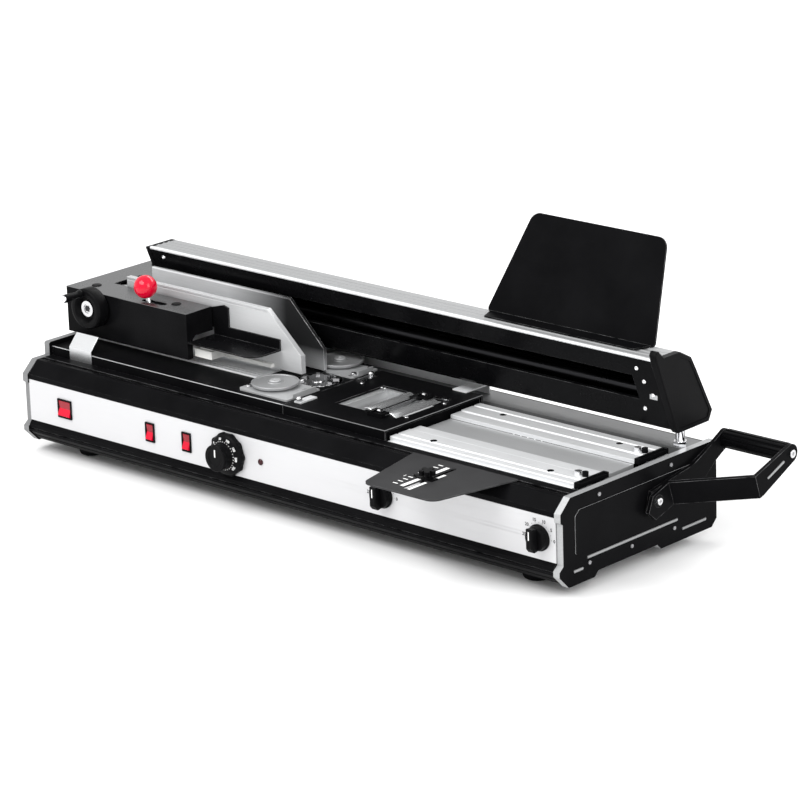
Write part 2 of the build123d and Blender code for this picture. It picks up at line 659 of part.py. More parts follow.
def press_shaft():
    """Cross shaft with the two cams that close the nipping jaws, and the through bolt of the grip."""
    face = ARM_X + LEVER_STRIP
    shaft = rod_x(SHAFT_RADIUS, SHAFT_LEFT, face, PIVOT_Y, PIVOT_Z)
    for x in (NIP_SCREW_X + 14, NIP_SCREW_X + NIP_SCREW_SPAN - 26):
        shaft += rod_x(CAM_RADIUS, x, x + 12, PIVOT_Y, PIVOT_Z - CAM_THROW)
    head = rod_x(4.5, face, face + 2.5, PIVOT_Y, PIVOT_Z)
    socket = Plane.YZ.offset(face + 0.5) * Pos(PIVOT_Y, PIVOT_Z) * RegularPolygon(2.4, 6)
    far = face + LEVER_SPREAD
    bolt = rod_x(3, ARM_X, far, LEVER_LENGTH, 0) + rod_x(5.2, far, far + 2.5, LEVER_LENGTH, 0)
    bolt -= extrude(Plane.YZ.offset(far + 1) * Pos(LEVER_LENGTH, 0) * RegularPolygon(2.6, 6), 2, dir=RIGHT)
    return [shaft + head - extrude(socket, 2, dir=RIGHT), tilted(bolt)]


def tilted(shape):
    """Puts a piece that is drawn along +Y from the pivot at the lever's rest angle."""
    return Pos(0, PIVOT_Y, PIVOT_Z) * Rot(LEVER_TILT, 0, 0) * shape


def press_lever():
    """Loop lever of strip: a cranked inner arm and an outer arm that spreads to the grip."""
    x0 = HALF + LEVER_GAP
    outer = ARM_X + LEVER_SPREAD
    length = LEVER_LENGTH
    top = LEVER_WIDTH / 2 - 4
    low = top - LEVER_WIDTH
    inner_arm = Polygon((-3, top + 3), (35, 9.5), (79.5, 2.5), (104, 5), (length, LEVER_END),
                        (length, -LEVER_END), (120, -17), (96, -26), (28, -22), (-13, -14), (-18, -8), align=None)
    arms = extrude(Plane.YZ.offset(x0) * (inner_arm + Pos(length, 0) * Circle(LEVER_END)), LEVER_STRIP, dir=RIGHT)
    strip = [
        (ARM_X, -23), (ARM_X, 27), (outer, LEVER_BEND), (outer, LEVER_BEND + 6), (outer + LEVER_STRIP, LEVER_BEND + 6),
        (outer + LEVER_STRIP, LEVER_BEND - 3), (ARM_X + LEVER_STRIP, 24), (ARM_X + LEVER_STRIP, -23),
    ]
    spread = along_z(strip, low, top)
    foot_cut = Polygon((-40, low - 1), (-12, low - 1), (-18, low + 9), (-22, low + 15), (-7, top + 1),
                       (-40, top + 1), align=None)
    spread -= extrude(Plane.YZ.offset(ARM_X) * foot_cut, LEVER_STRIP, dir=RIGHT)
    outer_arm = Polygon((LEVER_BEND + 5, top), (length, LEVER_END), (length, -LEVER_END), (LEVER_BEND + 5, low), align=None)
    outer_arm += Pos(length, 0) * Circle(LEVER_END)
    spread += extrude(Plane.YZ.offset(outer) * outer_arm, LEVER_STRIP, dir=RIGHT)
    rib = Pos((length + LEVER_BEND) / 2, -2) * Rot(0, 0, 4) * SlotOverall(length - LEVER_BEND - 34, 3)
    spread += extrude(Plane.YZ.offset(outer + LEVER_STRIP) * rib, 1, dir=RIGHT)
    lever = arms + spread - rod_x(SHAFT_RADIUS, x0, ARM_X + LEVER_STRIP, 0, 0)
    return tilted(lever - rod_x(3.1, outer, outer + LEVER_STRIP, length, 0))


def press_grip():
    """Fluted round grip between the two arms."""
    x0 = ARM_X
    x1 = ARM_X + LEVER_SPREAD
    section = Circle(GRIP_RADIUS)
    for step in range(GRIP_FLUTES):
        angle = 2 * math.pi * step / GRIP_FLUTES
        section -= Pos(GRIP_RADIUS * math.cos(angle), GRIP_RADIUS * math.sin(angle)) * Circle(1.6)
    grip = extrude(Plane.YZ.offset(x0 + 2) * Pos(LEVER_LENGTH, 0) * section, x1 - x0 - 4, dir=RIGHT)
    grip += rod_x(GRIP_RADIUS - 1, x0, x0 + 2, LEVER_LENGTH, 0)
    grip += rod_x(GRIP_RADIUS - 1, x1 - 2, x1, LEVER_LENGTH, 0)
    return tilted(grip - rod_x(3.1, x0, x1, LEVER_LENGTH, 0))


# Cover gauge

def gauge_plate():
    """Tapered shelf on the front rail that carries the cover's edge, with a slot for its pointer."""
    front = GAUGE_BACK_Y - GAUGE_REACH
    outline = Polygon(
        (GAUGE_X - GAUGE_BACK_HALF, GAUGE_BACK_Y), (GAUGE_X - GAUGE_FRONT_HALF, front),
        (GAUGE_X + GAUGE_FRONT_HALF, front), (GAUGE_X + GAUGE_BACK_HALF, GAUGE_BACK_Y), align=None,
    )
    outline = fillet(outline.vertices().group_by(Axis.Y)[0], 15)
    middle = (GAUGE_SLOT_Y0 + GAUGE_SLOT_Y1) / 2
    length = GAUGE_SLOT_Y1 - GAUGE_SLOT_Y0
    outline -= Pos(GAUGE_SLOT_X, middle) * SlotOverall(length, GAUGE_SLOT_WIDTH, rotation=90)
    return extrude(Pos(0, 0, PLATE_TOP) * outline, GAUGE_SHEET, dir=UP)


def gauge_pointer():
    """Pointer block in the slot, with a star knob above and a washer below the plate."""
    top = PLATE_TOP + GAUGE_SHEET
    width = GAUGE_SLOT_WIDTH - 0.6
    x = GAUGE_SLOT_X
    pointer = block(x - width / 2, x + width / 2, POINTER_Y - 6, POINTER_Y + 6, PLATE_TOP - 0.2, top + 0.2)
    pointer += rod_z(9, x, POINTER_Y, PLATE_TOP - 3, PLATE_TOP - 0.2)
    arrow = [(x - 24, POINTER_Y), (x - 12, POINTER_Y + 6), (x + 12, POINTER_Y + 6), (x + 12, POINTER_Y - 6),
             (x - 12, POINTER_Y - 6)]
    pointer += along_z(arrow, top + 0.2, top + 1.7)
    pointer += rod_z(6, x, POINTER_Y, top + 1.7, top + 12)
    for step in range(5):
        lobe = Pos(7.5, 0, top + 9) * Cylinder(3.4, 6)
        pointer += Pos(x, POINTER_Y, 0) * Rot(0, 0, 72 * step + 18) * lobe
    return pointer


# Guide beam

def beam_outline():
    """Side outline of the beam, with its front face leaning forward towards the top."""
    low = BEAM_BOTTOM
    return [
        (190, low + 99), (238, low + 99), (256, low + 88), (266, low + 72), (297, low + 12), (290, low),
        (232, low), (228, low + 4),
    ]


def beam_hollow():
    low = BEAM_BOTTOM
    wall = BEAM_WALL
    return [
        (190 + 1.6 * wall, low + 99 - wall), (237, low + 99 - wall), (253, low + 85.5), (262.5, low + 70),
        (292.5, low + 12.5), (287.5, low + wall), (232 + wall, low + wall),
    ]


def front_face_y(height):
    """Y of the beam's leaning front face at a height above its underside."""
    return 228 - 38 * (height - 4) / 95


def guide_beam():
    """Long box beam with a slot along its front, where the trolley's plate runs."""
    beam = along_x(beam_outline(), BEAM_LEFT, BEAM_RIGHT) - along_x(beam_hollow(), BEAM_LEFT, BEAM_RIGHT)
    slot = [
        (180, BEAM_BOTTOM + SLOT_HIGH), (225, BEAM_BOTTOM + SLOT_HIGH),
        (235, BEAM_BOTTOM + SLOT_LOW), (180, BEAM_BOTTOM + SLOT_LOW),
    ]
    beam -= along_x(slot, BEAM_LEFT, BEAM_RIGHT - 38)
    lip = front_face_y(SLOT_HIGH)
    return beam + along_x([
        (lip, BEAM_BOTTOM + SLOT_HIGH), (lip + 5, BEAM_BOTTOM + SLOT_HIGH + 3),
        (lip + 5, BEAM_BOTTOM + SLOT_HIGH), (lip + 3, BEAM_BOTTOM + SLOT_HIGH - 2),
    ], BEAM_LEFT, BEAM_RIGHT - 38)


def beam_top_cover():
    """Bright ribbed strip along the top of the beam."""
    low = BEAM_BOTTOM + 99
    points = [(190, low), (189.5, low + 2), (191, low + 3.4), (194, low + 3.4), (195, low + 2)]
    for y in (204, 214, 224):
        points += [(y, low + 2), (y + 1, low + 3), (y + 3, low + 3), (y + 4, low + 2)]
    points += [(238.6, low + 2), (257.5, low - 9.6), (256, low - 11), (238, low)]
    return along_x(points, BEAM_LEFT, BEAM_RIGHT)


def cap_back():
    """The part of both end caps' outline that follows the beam's rear and underside."""
    low = BEAM_BOTTOM
    return [
        (238, low + 101.5), (259, low + 90), (269, low + 72), (300, low + 12), (293, low - 2),
        (258, low - 2.5), (232, low - 2.5), (227, low + 3),
    ]


def beam_left_cap():
    """Flat end cap, open where the running plate passes; it holds one end of the guide shaft."""
    x0 = BEAM_LEFT - BEAM_LEFT_CAP
    cap = along_x([(188, BEAM_BOTTOM + 101.5)] + cap_back(), x0, BEAM_LEFT)
    cap = chamfer(cap.faces().sort_by(Axis.X)[0].edges(), 1.5)
    cap -= rod_x(GUIDE_SHAFT_RADIUS, x0 + 3, BEAM_LEFT, GUIDE_SHAFT_Y, SHAFT_Z)
    return cap - block(x0, BEAM_LEFT, 150, TROLLEY_REAR + 3, TROLLEY_TOP - TROLLEY_PLATE - 4, TROLLEY_TOP + 4)


def beam_right_cap():
    """End cap with a hooked front corner and a raised border; it holds the guide shaft's other end."""
    low = BEAM_BOTTOM
    x1 = BEAM_RIGHT + BEAM_CAP
    hook = [(190, low + 99), (187.5, low + 108), (190.5, low + 113), (195.5, low + 112), (206, low + 101.5)]
    outline = Polygon(*(hook + cap_back()), align=None)
    cap = extrude(Plane.YZ.offset(BEAM_RIGHT) * outline, BEAM_CAP, dir=RIGHT)
    cap = chamfer(cap.faces().sort_by(Axis.X)[-1].edges(), 1.5)
    field = Polygon(
        (196, low + 96), (237, low + 96), (255, low + 86), (264, low + 70), (293, low + 13), (289, low + 4),
        (258, low + 3), (234, low + 3), (231, low + 8), align=None,
    )
    cap -= extrude(Plane.YZ.offset(x1 - 1) * field, 1, dir=RIGHT)
    return cap - rod_x(GUIDE_SHAFT_RADIUS, BEAM_RIGHT, x1 - 4, GUIDE_SHAFT_Y, SHAFT_Z)


def beam_posts():
    """Chrome posts with collars that carry the two ends of the beam on the rear rail."""
    posts = []
    for x in (BEAM_LEFT + POST_INSET, BEAM_RIGHT - POST_INSET):
        post = rod_z(POST_RADIUS, x, POST_Y, PLATE_TOP, BEAM_BOTTOM)
        post += extrude(Pos(x, POST_Y, PLATE_TOP) * RegularPolygon(POST_RADIUS + 3, 6), 7, dir=UP)
        posts.append(post + rod_z(POST_RADIUS + 2, x, POST_Y, BEAM_BOTTOM - 3, BEAM_BOTTOM))
    return posts


def guide_shaft():
    x0 = BEAM_LEFT - BEAM_LEFT_CAP + 3
    return rod_x(GUIDE_SHAFT_RADIUS, x0, BEAM_RIGHT + BEAM_CAP - 4, GUIDE_SHAFT_Y, SHAFT_Z)


def support_board():
    """Folded board on the beam that backs the book: chamfered foot flange, tapered leaning back."""
    z = BEAM_BOTTOM + 102.4
    half = BOARD_BOTTOM / 2
    round_off = 6
    flange = along_z([
        (BOARD_X - half + round_off, BOARD_FOLD_Y), (BOARD_X - half + 16, BOARD_FOLD_Y - BOARD_FLANGE),
        (BOARD_X + half - 16, BOARD_FOLD_Y - BOARD_FLANGE), (BOARD_X + half - round_off, BOARD_FOLD_Y),
    ], z, z + SHEET)
    outline = Polygon((-half, 0), (half, 0), (half - BOARD_RIGHT_INSET, BOARD_HEIGHT),
                      (BOARD_LEFT_INSET - half, BOARD_HEIGHT), align=None)
    outline = fillet(outline.vertices().group_by(Axis.Y)[-1], 16)
    outline = fillet(outline.vertices().group_by(Axis.Y)[0], round_off)
    back = extrude(Plane.XZ * outline, SHEET, dir=BACK)
    return flange + Pos(BOARD_X, BOARD_FOLD_Y - SHEET, z) * Rot(-BOARD_LEAN, 0, 0) * back


# Clamp trolley

def trolley_housing():
    """C-shaped running plate with the folded box on its front edge and the lever's pivot stud."""
    low = TROLLEY_TOP - TROLLEY_PLATE
    plate = along_z([
        (TROLLEY_LEFT, TROLLEY_FRONT), (TROLLEY_RIGHT, TROLLEY_FRONT), (TROLLEY_RIGHT, BOX_REAR),
        (PLATE_NECK_X, BOX_REAR), (PLATE_NECK_X, REAR_JAW_Y + REAR_JAW_THICKNESS),
        (TROLLEY_RIGHT, REAR_JAW_Y + REAR_JAW_THICKNESS), (TROLLEY_RIGHT, TROLLEY_REAR),
        (TROLLEY_LEFT, TROLLEY_REAR),
    ], low, TROLLEY_TOP)
    box = block(TROLLEY_LEFT, TROLLEY_RIGHT, TROLLEY_FRONT, TROLLEY_FRONT + BOX_SHEET, BOX_LOW, low)
    box += block(TROLLEY_LEFT, TROLLEY_LEFT + BOX_SHEET, TROLLEY_FRONT, GUIDE_PLATE_Y, BOX_LOW, low)
    side = [
        (TROLLEY_FRONT, low), (BOX_REAR, low), (BOX_REAR, TRAY_Z + 8), (TROLLEY_FRONT + 15, TRAY_Z + 8),
        (TROLLEY_FRONT + 10, TRAY_Z + 3), (TROLLEY_FRONT + 10, BOX_LOW), (TROLLEY_FRONT, BOX_LOW),
    ]
    box += along_x(side, TROLLEY_RIGHT - BOX_SHEET, TROLLEY_RIGHT)
    box += rod_y(4, CLAMP_PIVOT_X, TROLLEY_FRONT + BOX_SHEET, LEVER_BALL_Y + 6, CLAMP_PIVOT_Z)
    box -= rod_y(SCREW_RADIUS + RUNNING, SCREW_X, TROLLEY_FRONT, TROLLEY_FRONT + BOX_SHEET, SCREW_Z)
    slot = Pos(CLAMP_PIVOT_X, LEVER_BALL_Y, low) * SlotOverall(44, 11)
    return plate + box - extrude(slot, TROLLEY_PLATE, dir=UP)


def trolley_bearings():
    """Two bearing blocks under the running plate that slide on the guide shaft."""
    blocks = []
    for x in (JAW_LEFT + 20, TROLLEY_RIGHT - BEARING_LENGTH - 16):
        body = block(x, x + BEARING_LENGTH, GUIDE_SHAFT_Y - BEARING_WIDTH / 2, GUIDE_SHAFT_Y + BEARING_WIDTH / 2,
                     SHAFT_Z - 16, TROLLEY_TOP - TROLLEY_PLATE)
        blocks.append(body - rod_x(GUIDE_SHAFT_RADIUS + RUNNING, x, x + BEARING_LENGTH, GUIDE_SHAFT_Y, SHAFT_Z))
    return blocks


def guide_rod_places():
    return ((SCREW_X - 36, SCREW_Z), (SCREW_X - 20, SCREW_Z - 28))


def jaw_guides():
    """Guide rods of the front jaw and the plate that holds their rear ends and the screw's."""
    y1 = GUIDE_PLATE_Y + 5
    plate = block(TROLLEY_LEFT, JAW_LEFT, GUIDE_PLATE_Y, y1, BOX_LOW, TROLLEY_TOP - TROLLEY_PLATE)
    plate -= rod_y(SCREW_RADIUS + RUNNING, SCREW_X, GUIDE_PLATE_Y, y1, SCREW_Z)
    pieces = []
    for x, z in guide_rod_places():
        plate -= rod_y(ROD_RADIUS, x, GUIDE_PLATE_Y, y1, z)
        pieces.append(rod_y(ROD_RADIUS, x, TROLLEY_FRONT + BOX_SHEET, y1, z))
    return [plate] + pieces


def jaw_outline(low, top, left):
    return [
        (left, low), (JAW_RIGHT, low), (JAW_RIGHT, JAW_SLANT_Z), (JAW_SLANT_X, top), (left, top),
    ]


def front_jaw():
    """Moving jaw: grooved slanted plate, the nut lug at its left end and the ledge on its front."""
    y1 = FRONT_JAW_Y + FRONT_JAW_THICKNESS
    jaw = along_y(jaw_outline(FRONT_JAW_BOTTOM, FRONT_JAW_TOP, JAW_LEFT), FRONT_JAW_Y, y1)
    jaw -= block(JAW_LEFT, JAW_SLANT_X, FRONT_JAW_Y, FRONT_JAW_Y + 1.2, FRONT_JAW_TOP - 4.5, FRONT_JAW_TOP - 3)
    jaw -= block(JAW_LEFT, JAW_SLANT_X, FRONT_JAW_Y + 3, FRONT_JAW_Y + 4.5, FRONT_JAW_TOP - 1.2, FRONT_JAW_TOP)
    lug = block(TROLLEY_LEFT + 12, JAW_LEFT, FRONT_JAW_Y, FRONT_JAW_Y + NUT_DEPTH, BOX_LOW + 4, TROLLEY_TOP - TROLLEY_PLATE - 4)
    lug += block(JAW_LEFT, JAW_LEFT + 12, FRONT_JAW_Y, y1, BOX_LOW + 4, TROLLEY_TOP - TROLLEY_PLATE - 4)
    lug -= rod_y(SCREW_RADIUS + RUNNING, SCREW_X, FRONT_JAW_Y, FRONT_JAW_Y + NUT_DEPTH, SCREW_Z)
    for x, z in guide_rod_places():
        lug -= rod_y(ROD_RADIUS + RUNNING, x, FRONT_JAW_Y, FRONT_JAW_Y + NUT_DEPTH, z)
    return jaw + lug


def jaw_ledge():
    """Black ledge in front of the moving jaw: upstand against it, a tall tab and a rounded corner."""
    x0 = TROLLEY_RIGHT + 0.5
    outline = Polygon((x0, TROLLEY_FRONT), (TRAY_RIGHT, TROLLEY_FRONT), (TRAY_RIGHT, FRONT_JAW_Y),
                      (x0, FRONT_JAW_Y), align=None)
    corner = outline.vertices().group_by(Axis.X)[-1].sort_by(Axis.Y)[0]
    ledge = extrude(Pos(0, 0, TRAY_Z) * fillet(corner, 22), SHEET, dir=UP)
    ledge += block(x0, TRAY_RIGHT, FRONT_JAW_Y - SHEET, FRONT_JAW_Y, TRAY_Z, TRAY_Z + TRAY_UPSTAND)
    tab = [
        (x0 - 18, TRAY_Z + 12), (x0 - 18, TROLLEY_TOP - 6), (x0 + 20, TROLLEY_TOP + 4.5),
        (x0 + 29, TROLLEY_TOP + 2), (x0 + 29, TRAY_Z + SHEET), (x0, TRAY_Z + SHEET), (x0, TRAY_Z + 12),
    ]
    return ledge + along_y(tab, FRONT_JAW_Y - SHEET, FRONT_JAW_Y)


def jaw_pad():
    """White slide pad hung under the ledge, and the strip along the foot of the moving jaw."""
    x0 = TROLLEY_RIGHT + 1
    z0 = FRONT_JAW_BOTTOM + 0.3
    pad = block(x0, x0 + 32, TROLLEY_FRONT + 12, FRONT_JAW_Y, z0 + 6, z0 + 17)
    pad += block(x0 + 4, x0 + 28, TROLLEY_FRONT + 18, TROLLEY_FRONT + 34, z0 + 17, TRAY_Z)
    return pad + block(x0, JAW_RIGHT - 50, FRONT_JAW_Y - 6, FRONT_JAW_Y, z0 + 1, z0 + 6)


def rear_jaw():
    """Fixed jaw of the clamp, folded under the running plate's rear strip."""
    y1 = REAR_JAW_Y + REAR_JAW_THICKNESS
    jaw = along_y(jaw_outline(REAR_JAW_BOTTOM, REAR_JAW_TOP, JAW_LEFT + 5), REAR_JAW_Y, y1)
    jaw = chamfer(jaw.edges().filter_by(Axis.X).group_by(Axis.Z)[-1].sort_by(Axis.Y)[0], 1.5)
    low = TROLLEY_TOP - TROLLEY_PLATE
    return jaw + block(JAW_LEFT + 5, TROLLEY_RIGHT, y1, y1 + 16, low - 4, low)


def clamp_screw():
    """Clamp screw with its silver hub ring in the middle of the handwheel."""
    y0 = TROLLEY_FRONT - 2 - WHEEL_DEPTH
    screw = rod_y(SCREW_RADIUS, SCREW_X, y0 + 6, GUIDE_PLATE_Y + 5, SCREW_Z)
    ring = rod_y(11, SCREW_X, y0 + 5, y0 + 8, SCREW_Z) - rod_y(6.5, SCREW_X, y0 + 5, y0 + 6.5, SCREW_Z)
    return screw + ring


def handwheel():
    """Deep dished handwheel on the front end of the clamp screw."""
    r = WHEEL_RADIUS
    d = WHEEL_DEPTH
    profile = [
        (SCREW_RADIUS, 0), (r - 2, 0), (r, 2), (r, d - 3), (r - 2, d - 0.6), (r - 5, d), (r - 9, d),
        (r - 11, d - 2), (14, d - 8), (SCREW_RADIUS, d - 8),
    ]
    wheel = turned_y(profile, SCREW_X, TROLLEY_FRONT - 2, SCREW_Z)
    x, z = crank_place()
    return wheel - rod_y(3 + RUNNING, x, TROLLEY_FRONT - 2 - d, TROLLEY_FRONT - 2 - d + 10, z)


def crank_place():
    angle = math.radians(103)
    return SCREW_X + CRANK_RADIUS * math.cos(angle), SCREW_Z + CRANK_RADIUS * math.sin(angle)


def crank_handle():
    """Turning handle of the handwheel, with its stud."""
    x, z = crank_place()
    y = TROLLEY_FRONT - 2 - WHEEL_DEPTH
    profile = [(0, 0.4), (5.5, 0.4), (5.5, 3), (4.6, 8), (5.8, CRANK_LENGTH - 6), (5.8, CRANK_LENGTH - 2),
               (4.8, CRANK_LENGTH), (2.2, CRANK_LENGTH), (2.2, CRANK_LENGTH - 1.2), (0, CRANK_LENGTH - 1.2)]
    return turned_y(profile, x, y, z) + rod_y(3, x, y - 1, y + 9.5, z)


def clamp_lever():
    """Quick clamp lever: flat cam arm inside the box and a round stem up to the ball."""
    dx = LEVER_BALL_X - CLAMP_PIVOT_X
    dz = LEVER_BALL_Z - CLAMP_PIVOT_Z
    reach = math.hypot(dx, dz)
    lean = math.degrees(math.atan2(dx, dz))
    arm = Pos(0, 16, 0) * SlotOverall(46, 12, rotation=90)
    arm += Circle(9)
    arm -= Circle(4 + RUNNING)
    arm = Pos(0, -2.5, 0) * extrude(Plane.XZ * arm, 5, dir=BACK)
    stem = rod_z(3.5, 0, 0, 36, reach - LEVER_BALL_RADIUS + 2)
    return Pos(CLAMP_PIVOT_X, LEVER_BALL_Y, CLAMP_PIVOT_Z) * Rot(0, lean, 0) * (arm + stem)


def lever_ball():
    dx = LEVER_BALL_X - CLAMP_PIVOT_X
    dz = LEVER_BALL_Z - CLAMP_PIVOT_Z
    lean = math.degrees(math.atan2(dx, dz))
    ball = Sphere(LEVER_BALL_RADIUS) - rod_z(3.5, 0, 0, -LEVER_BALL_RADIUS, -LEVER_BALL_RADIUS + 2)
    return Pos(LEVER_BALL_X, LEVER_BALL_Y, LEVER_BALL_Z) * Rot(0, lean, 0) * ball


# Controls

def rocker_places():
    return (
        (MAIN_ROCKER_X, MAIN_ROCKER_WIDTH), (ROLLER_ROCKER_X, SMALL_ROCKER_WIDTH),
        (CUTTER_ROCKER_X, SMALL_ROCKER_WIDTH),
    )


def rocker_bezels():
    """Frames of the three rocker switches, with their boxes behind the panel."""
    bezels = []
    y = PANEL_FRONT
    for x, width in rocker_places():
        inside = width / 2 + 0.3
        tall = ROCKER_RADIUS + 0.3
        bezel = block(x - inside - 2.2, x + inside + 2.2, y - 2, y, CONTROL_Z - tall - 1.8, CONTROL_Z + tall + 1.8)
        bezel += block(x - inside - 1, x + inside + 1, y, y + 18, CONTROL_Z - tall - 1, CONTROL_Z + tall + 1)
        bezel -= block(x - inside, x + inside, y - 2, y + 14.5, CONTROL_Z - tall, CONTROL_Z + tall)
        bezels.append(bezel)
    return bezels


def rocker(x, width):
    """Rocker cap: a drum section whose front is pressed to a shallow V."""
    drum = Circle(ROCKER_RADIUS)
    face = Polygon((-30, -30), (-5.2, -30), (-5.2, -10), (-2.6, 0), (-5.2, 10), (-5.2, 30), (-30, 30), align=None)
    cap = Plane.YZ.offset(x - width / 2) * Pos(PANEL_FRONT + 2, CONTROL_Z) * Rot(0, 0, -ROCKER_SWING / 2)
    return extrude(cap * (drum - face), width, dir=RIGHT)


def bar_knob(x, radius, skirt, height, grip):
    """Round knob with a thin skirt and a grip bar right across its face, bevelled at the lower end."""
    back = PANEL_FRONT - height / 2 + 1
    front = PANEL_FRONT - height
    reach = radius - 0.8
    profile = [(0, 0.5), (skirt, 0.5), (skirt, 2), (skirt - 1, 3), (radius - 0.5, 3.5), (radius - 1, height / 2 - 1),
               (radius - 2, height / 2), (0, height / 2)]
    knob = turned_y(profile, x, PANEL_FRONT, CONTROL_Z)
    side = [(back, CONTROL_Z + reach - 1), (front + 2, CONTROL_Z + reach), (front, CONTROL_Z + reach - 2),
            (front, CONTROL_Z - reach + 6), (front + 5, CONTROL_Z - reach), (back, CONTROL_Z - reach + 1)]
    bar = along_x(side, x - grip / 2, x + grip / 2)
    knob += chamfer(bar.edges().filter_by(Axis.Z).group_by(Axis.Y)[0], 1.2)
    return knob + rod_y(3, x, PANEL_FRONT - 1, PANEL_FRONT + 12, CONTROL_Z)


def thermostat_knob():
    """Large knob: a lobed base ring, a sloping number ring and a round barrel with a rim."""
    r = THERMOSTAT_RADIUS
    h = THERMOSTAT_HEIGHT
    profile = [(0, 0.5), (r, 0.5), (r, 6), (r - 1.5, 8), (r - 2.5, 9), (r - 11, 12.5), (r - 11, h - 5),
               (r - 10, h - 3.5), (r - 10, h - 1), (r - 11, h), (r - 16, h), (r - 17, h - 1), (0, h - 1)]
    knob = turned_y(profile, THERMOSTAT_X, PANEL_FRONT, CONTROL_Z)
    for step in range(10):
        lobe = Pos(THERMOSTAT_X, PANEL_FRONT - 3.5, CONTROL_Z) * Rot(0, 36 * step, 0)
        knob += lobe * Pos(r - 6, 0, 0) * Rot(90, 0, 0) * Cylinder(7.5, 6)
    return knob + rod_y(3, THERMOSTAT_X, PANEL_FRONT - 1, PANEL_FRONT + 12, CONTROL_Z)


def indicator_lamp():
    lamp = turned_y([(0, 0), (4.2, 0), (4.2, 1), (2.8, 2.4), (0, 3)], LAMP_X, PANEL_FRONT, CONTROL_Z)
    return lamp + rod_y(3, LAMP_X, PANEL_FRONT, PANEL_FRONT + 10, CONTROL_Z)


# Fasteners

def round_head_x(x, side, y, z):
    """Small round-headed screw on a face that looks along X, with a cross recess."""
    head = rod_x(2.4, min(x, x + 1.4 * side), max(x, x + 1.4 * side), y, z)
    cross = block(x + 0.6 * side - 1, x + 0.6 * side + 1, y - 1.4, y + 1.4, z - 0.4, z + 0.4)
    return head - Pos(1.2 * side, 0, 0) * cross


def round_head_z(x, y, z, radius):
    head = turned_z([(0, 0), (radius, 0), (radius, 0.9), (radius - 1, 1.8), (0, 1.8)], x, y, z)
    return head - block(x - radius + 1, x + radius - 1, y - 0.5, y + 0.5, z + 1, z + 2)


def knob_screw(y0, y1, screw_y):
    """Low bracket beside a disc slide with the round-topped screw that sets it."""
    x0 = SLIDE_RIGHT_X + 2
    bracket = block(x0 + 7, x0 + 19, y0, y1, DECK_TOP, DECK_TOP + 2)
    ball = turned_z([(0, 0), (2.5, 0), (4.3, 1.8), (4.3, 4.2), (3, 5.8), (0, 6.4)], KNOB_SCREW_X, screw_y, DECK_TOP + 2)
    return bracket + ball


def body_screws():
    """Screws of the end plates, the shoulder and setting screws of the disc slides, the deck's screws."""
    screws = []
    for side in (-1, 1):
        for y, z in ((76, 118.5), (215, 118.5), (56, 36), (137, 34), (220.5, 34)):
            screws.append(round_head_x(side * HALF, side, y, z))
    for x, y in slide_screw_places(True) + slide_screw_places(False):
        shank = rod_z(2, x, y, DECK_UNDER, DECK_TOP + SLIDE_SHEET + 0.3)
        screws.append(shank + round_head_z(x, y, DECK_TOP + SLIDE_SHEET + 0.3, 4))
    screws.append(knob_screw(FRONT_SLIDE_Y0 + 5, FRONT_SLIDE_Y0 + 36, FRONT_SLIDE_Y0 + 9))
    screws.append(knob_screw(REAR_SLIDE_Y0 - 2, REAR_SLIDE_Y0 + 28, REAR_SLIDE_Y0 + 22))
    for x, y in ((NIP_LEFT - 16, GLUE_Y0 + 9), (NIP_LEFT - 16, REAR_JAW_Y - 5), (HALF - 490, REAR_JAW_Y - 5)):
        screws.append(round_head_z(x, y, DECK_TOP, 3.2))
    return screws


def trolley_screws():
    """Flat round plugs over the screws of the running plate."""
    front = TROLLEY_FRONT + 27
    rear = TROLLEY_REAR - 22
    left = TROLLEY_LEFT + 23
    right = TROLLEY_RIGHT - 26
    places = ((left + 9, front), (right - 20, front), (left, rear), ((left + right) / 2 + 46, rear))
    return [turned_z([(0, 0), (6.8, 0), (6.8, 0.6), (6, 1), (0, 1)], x, y, TROLLEY_TOP) for x, y in places]


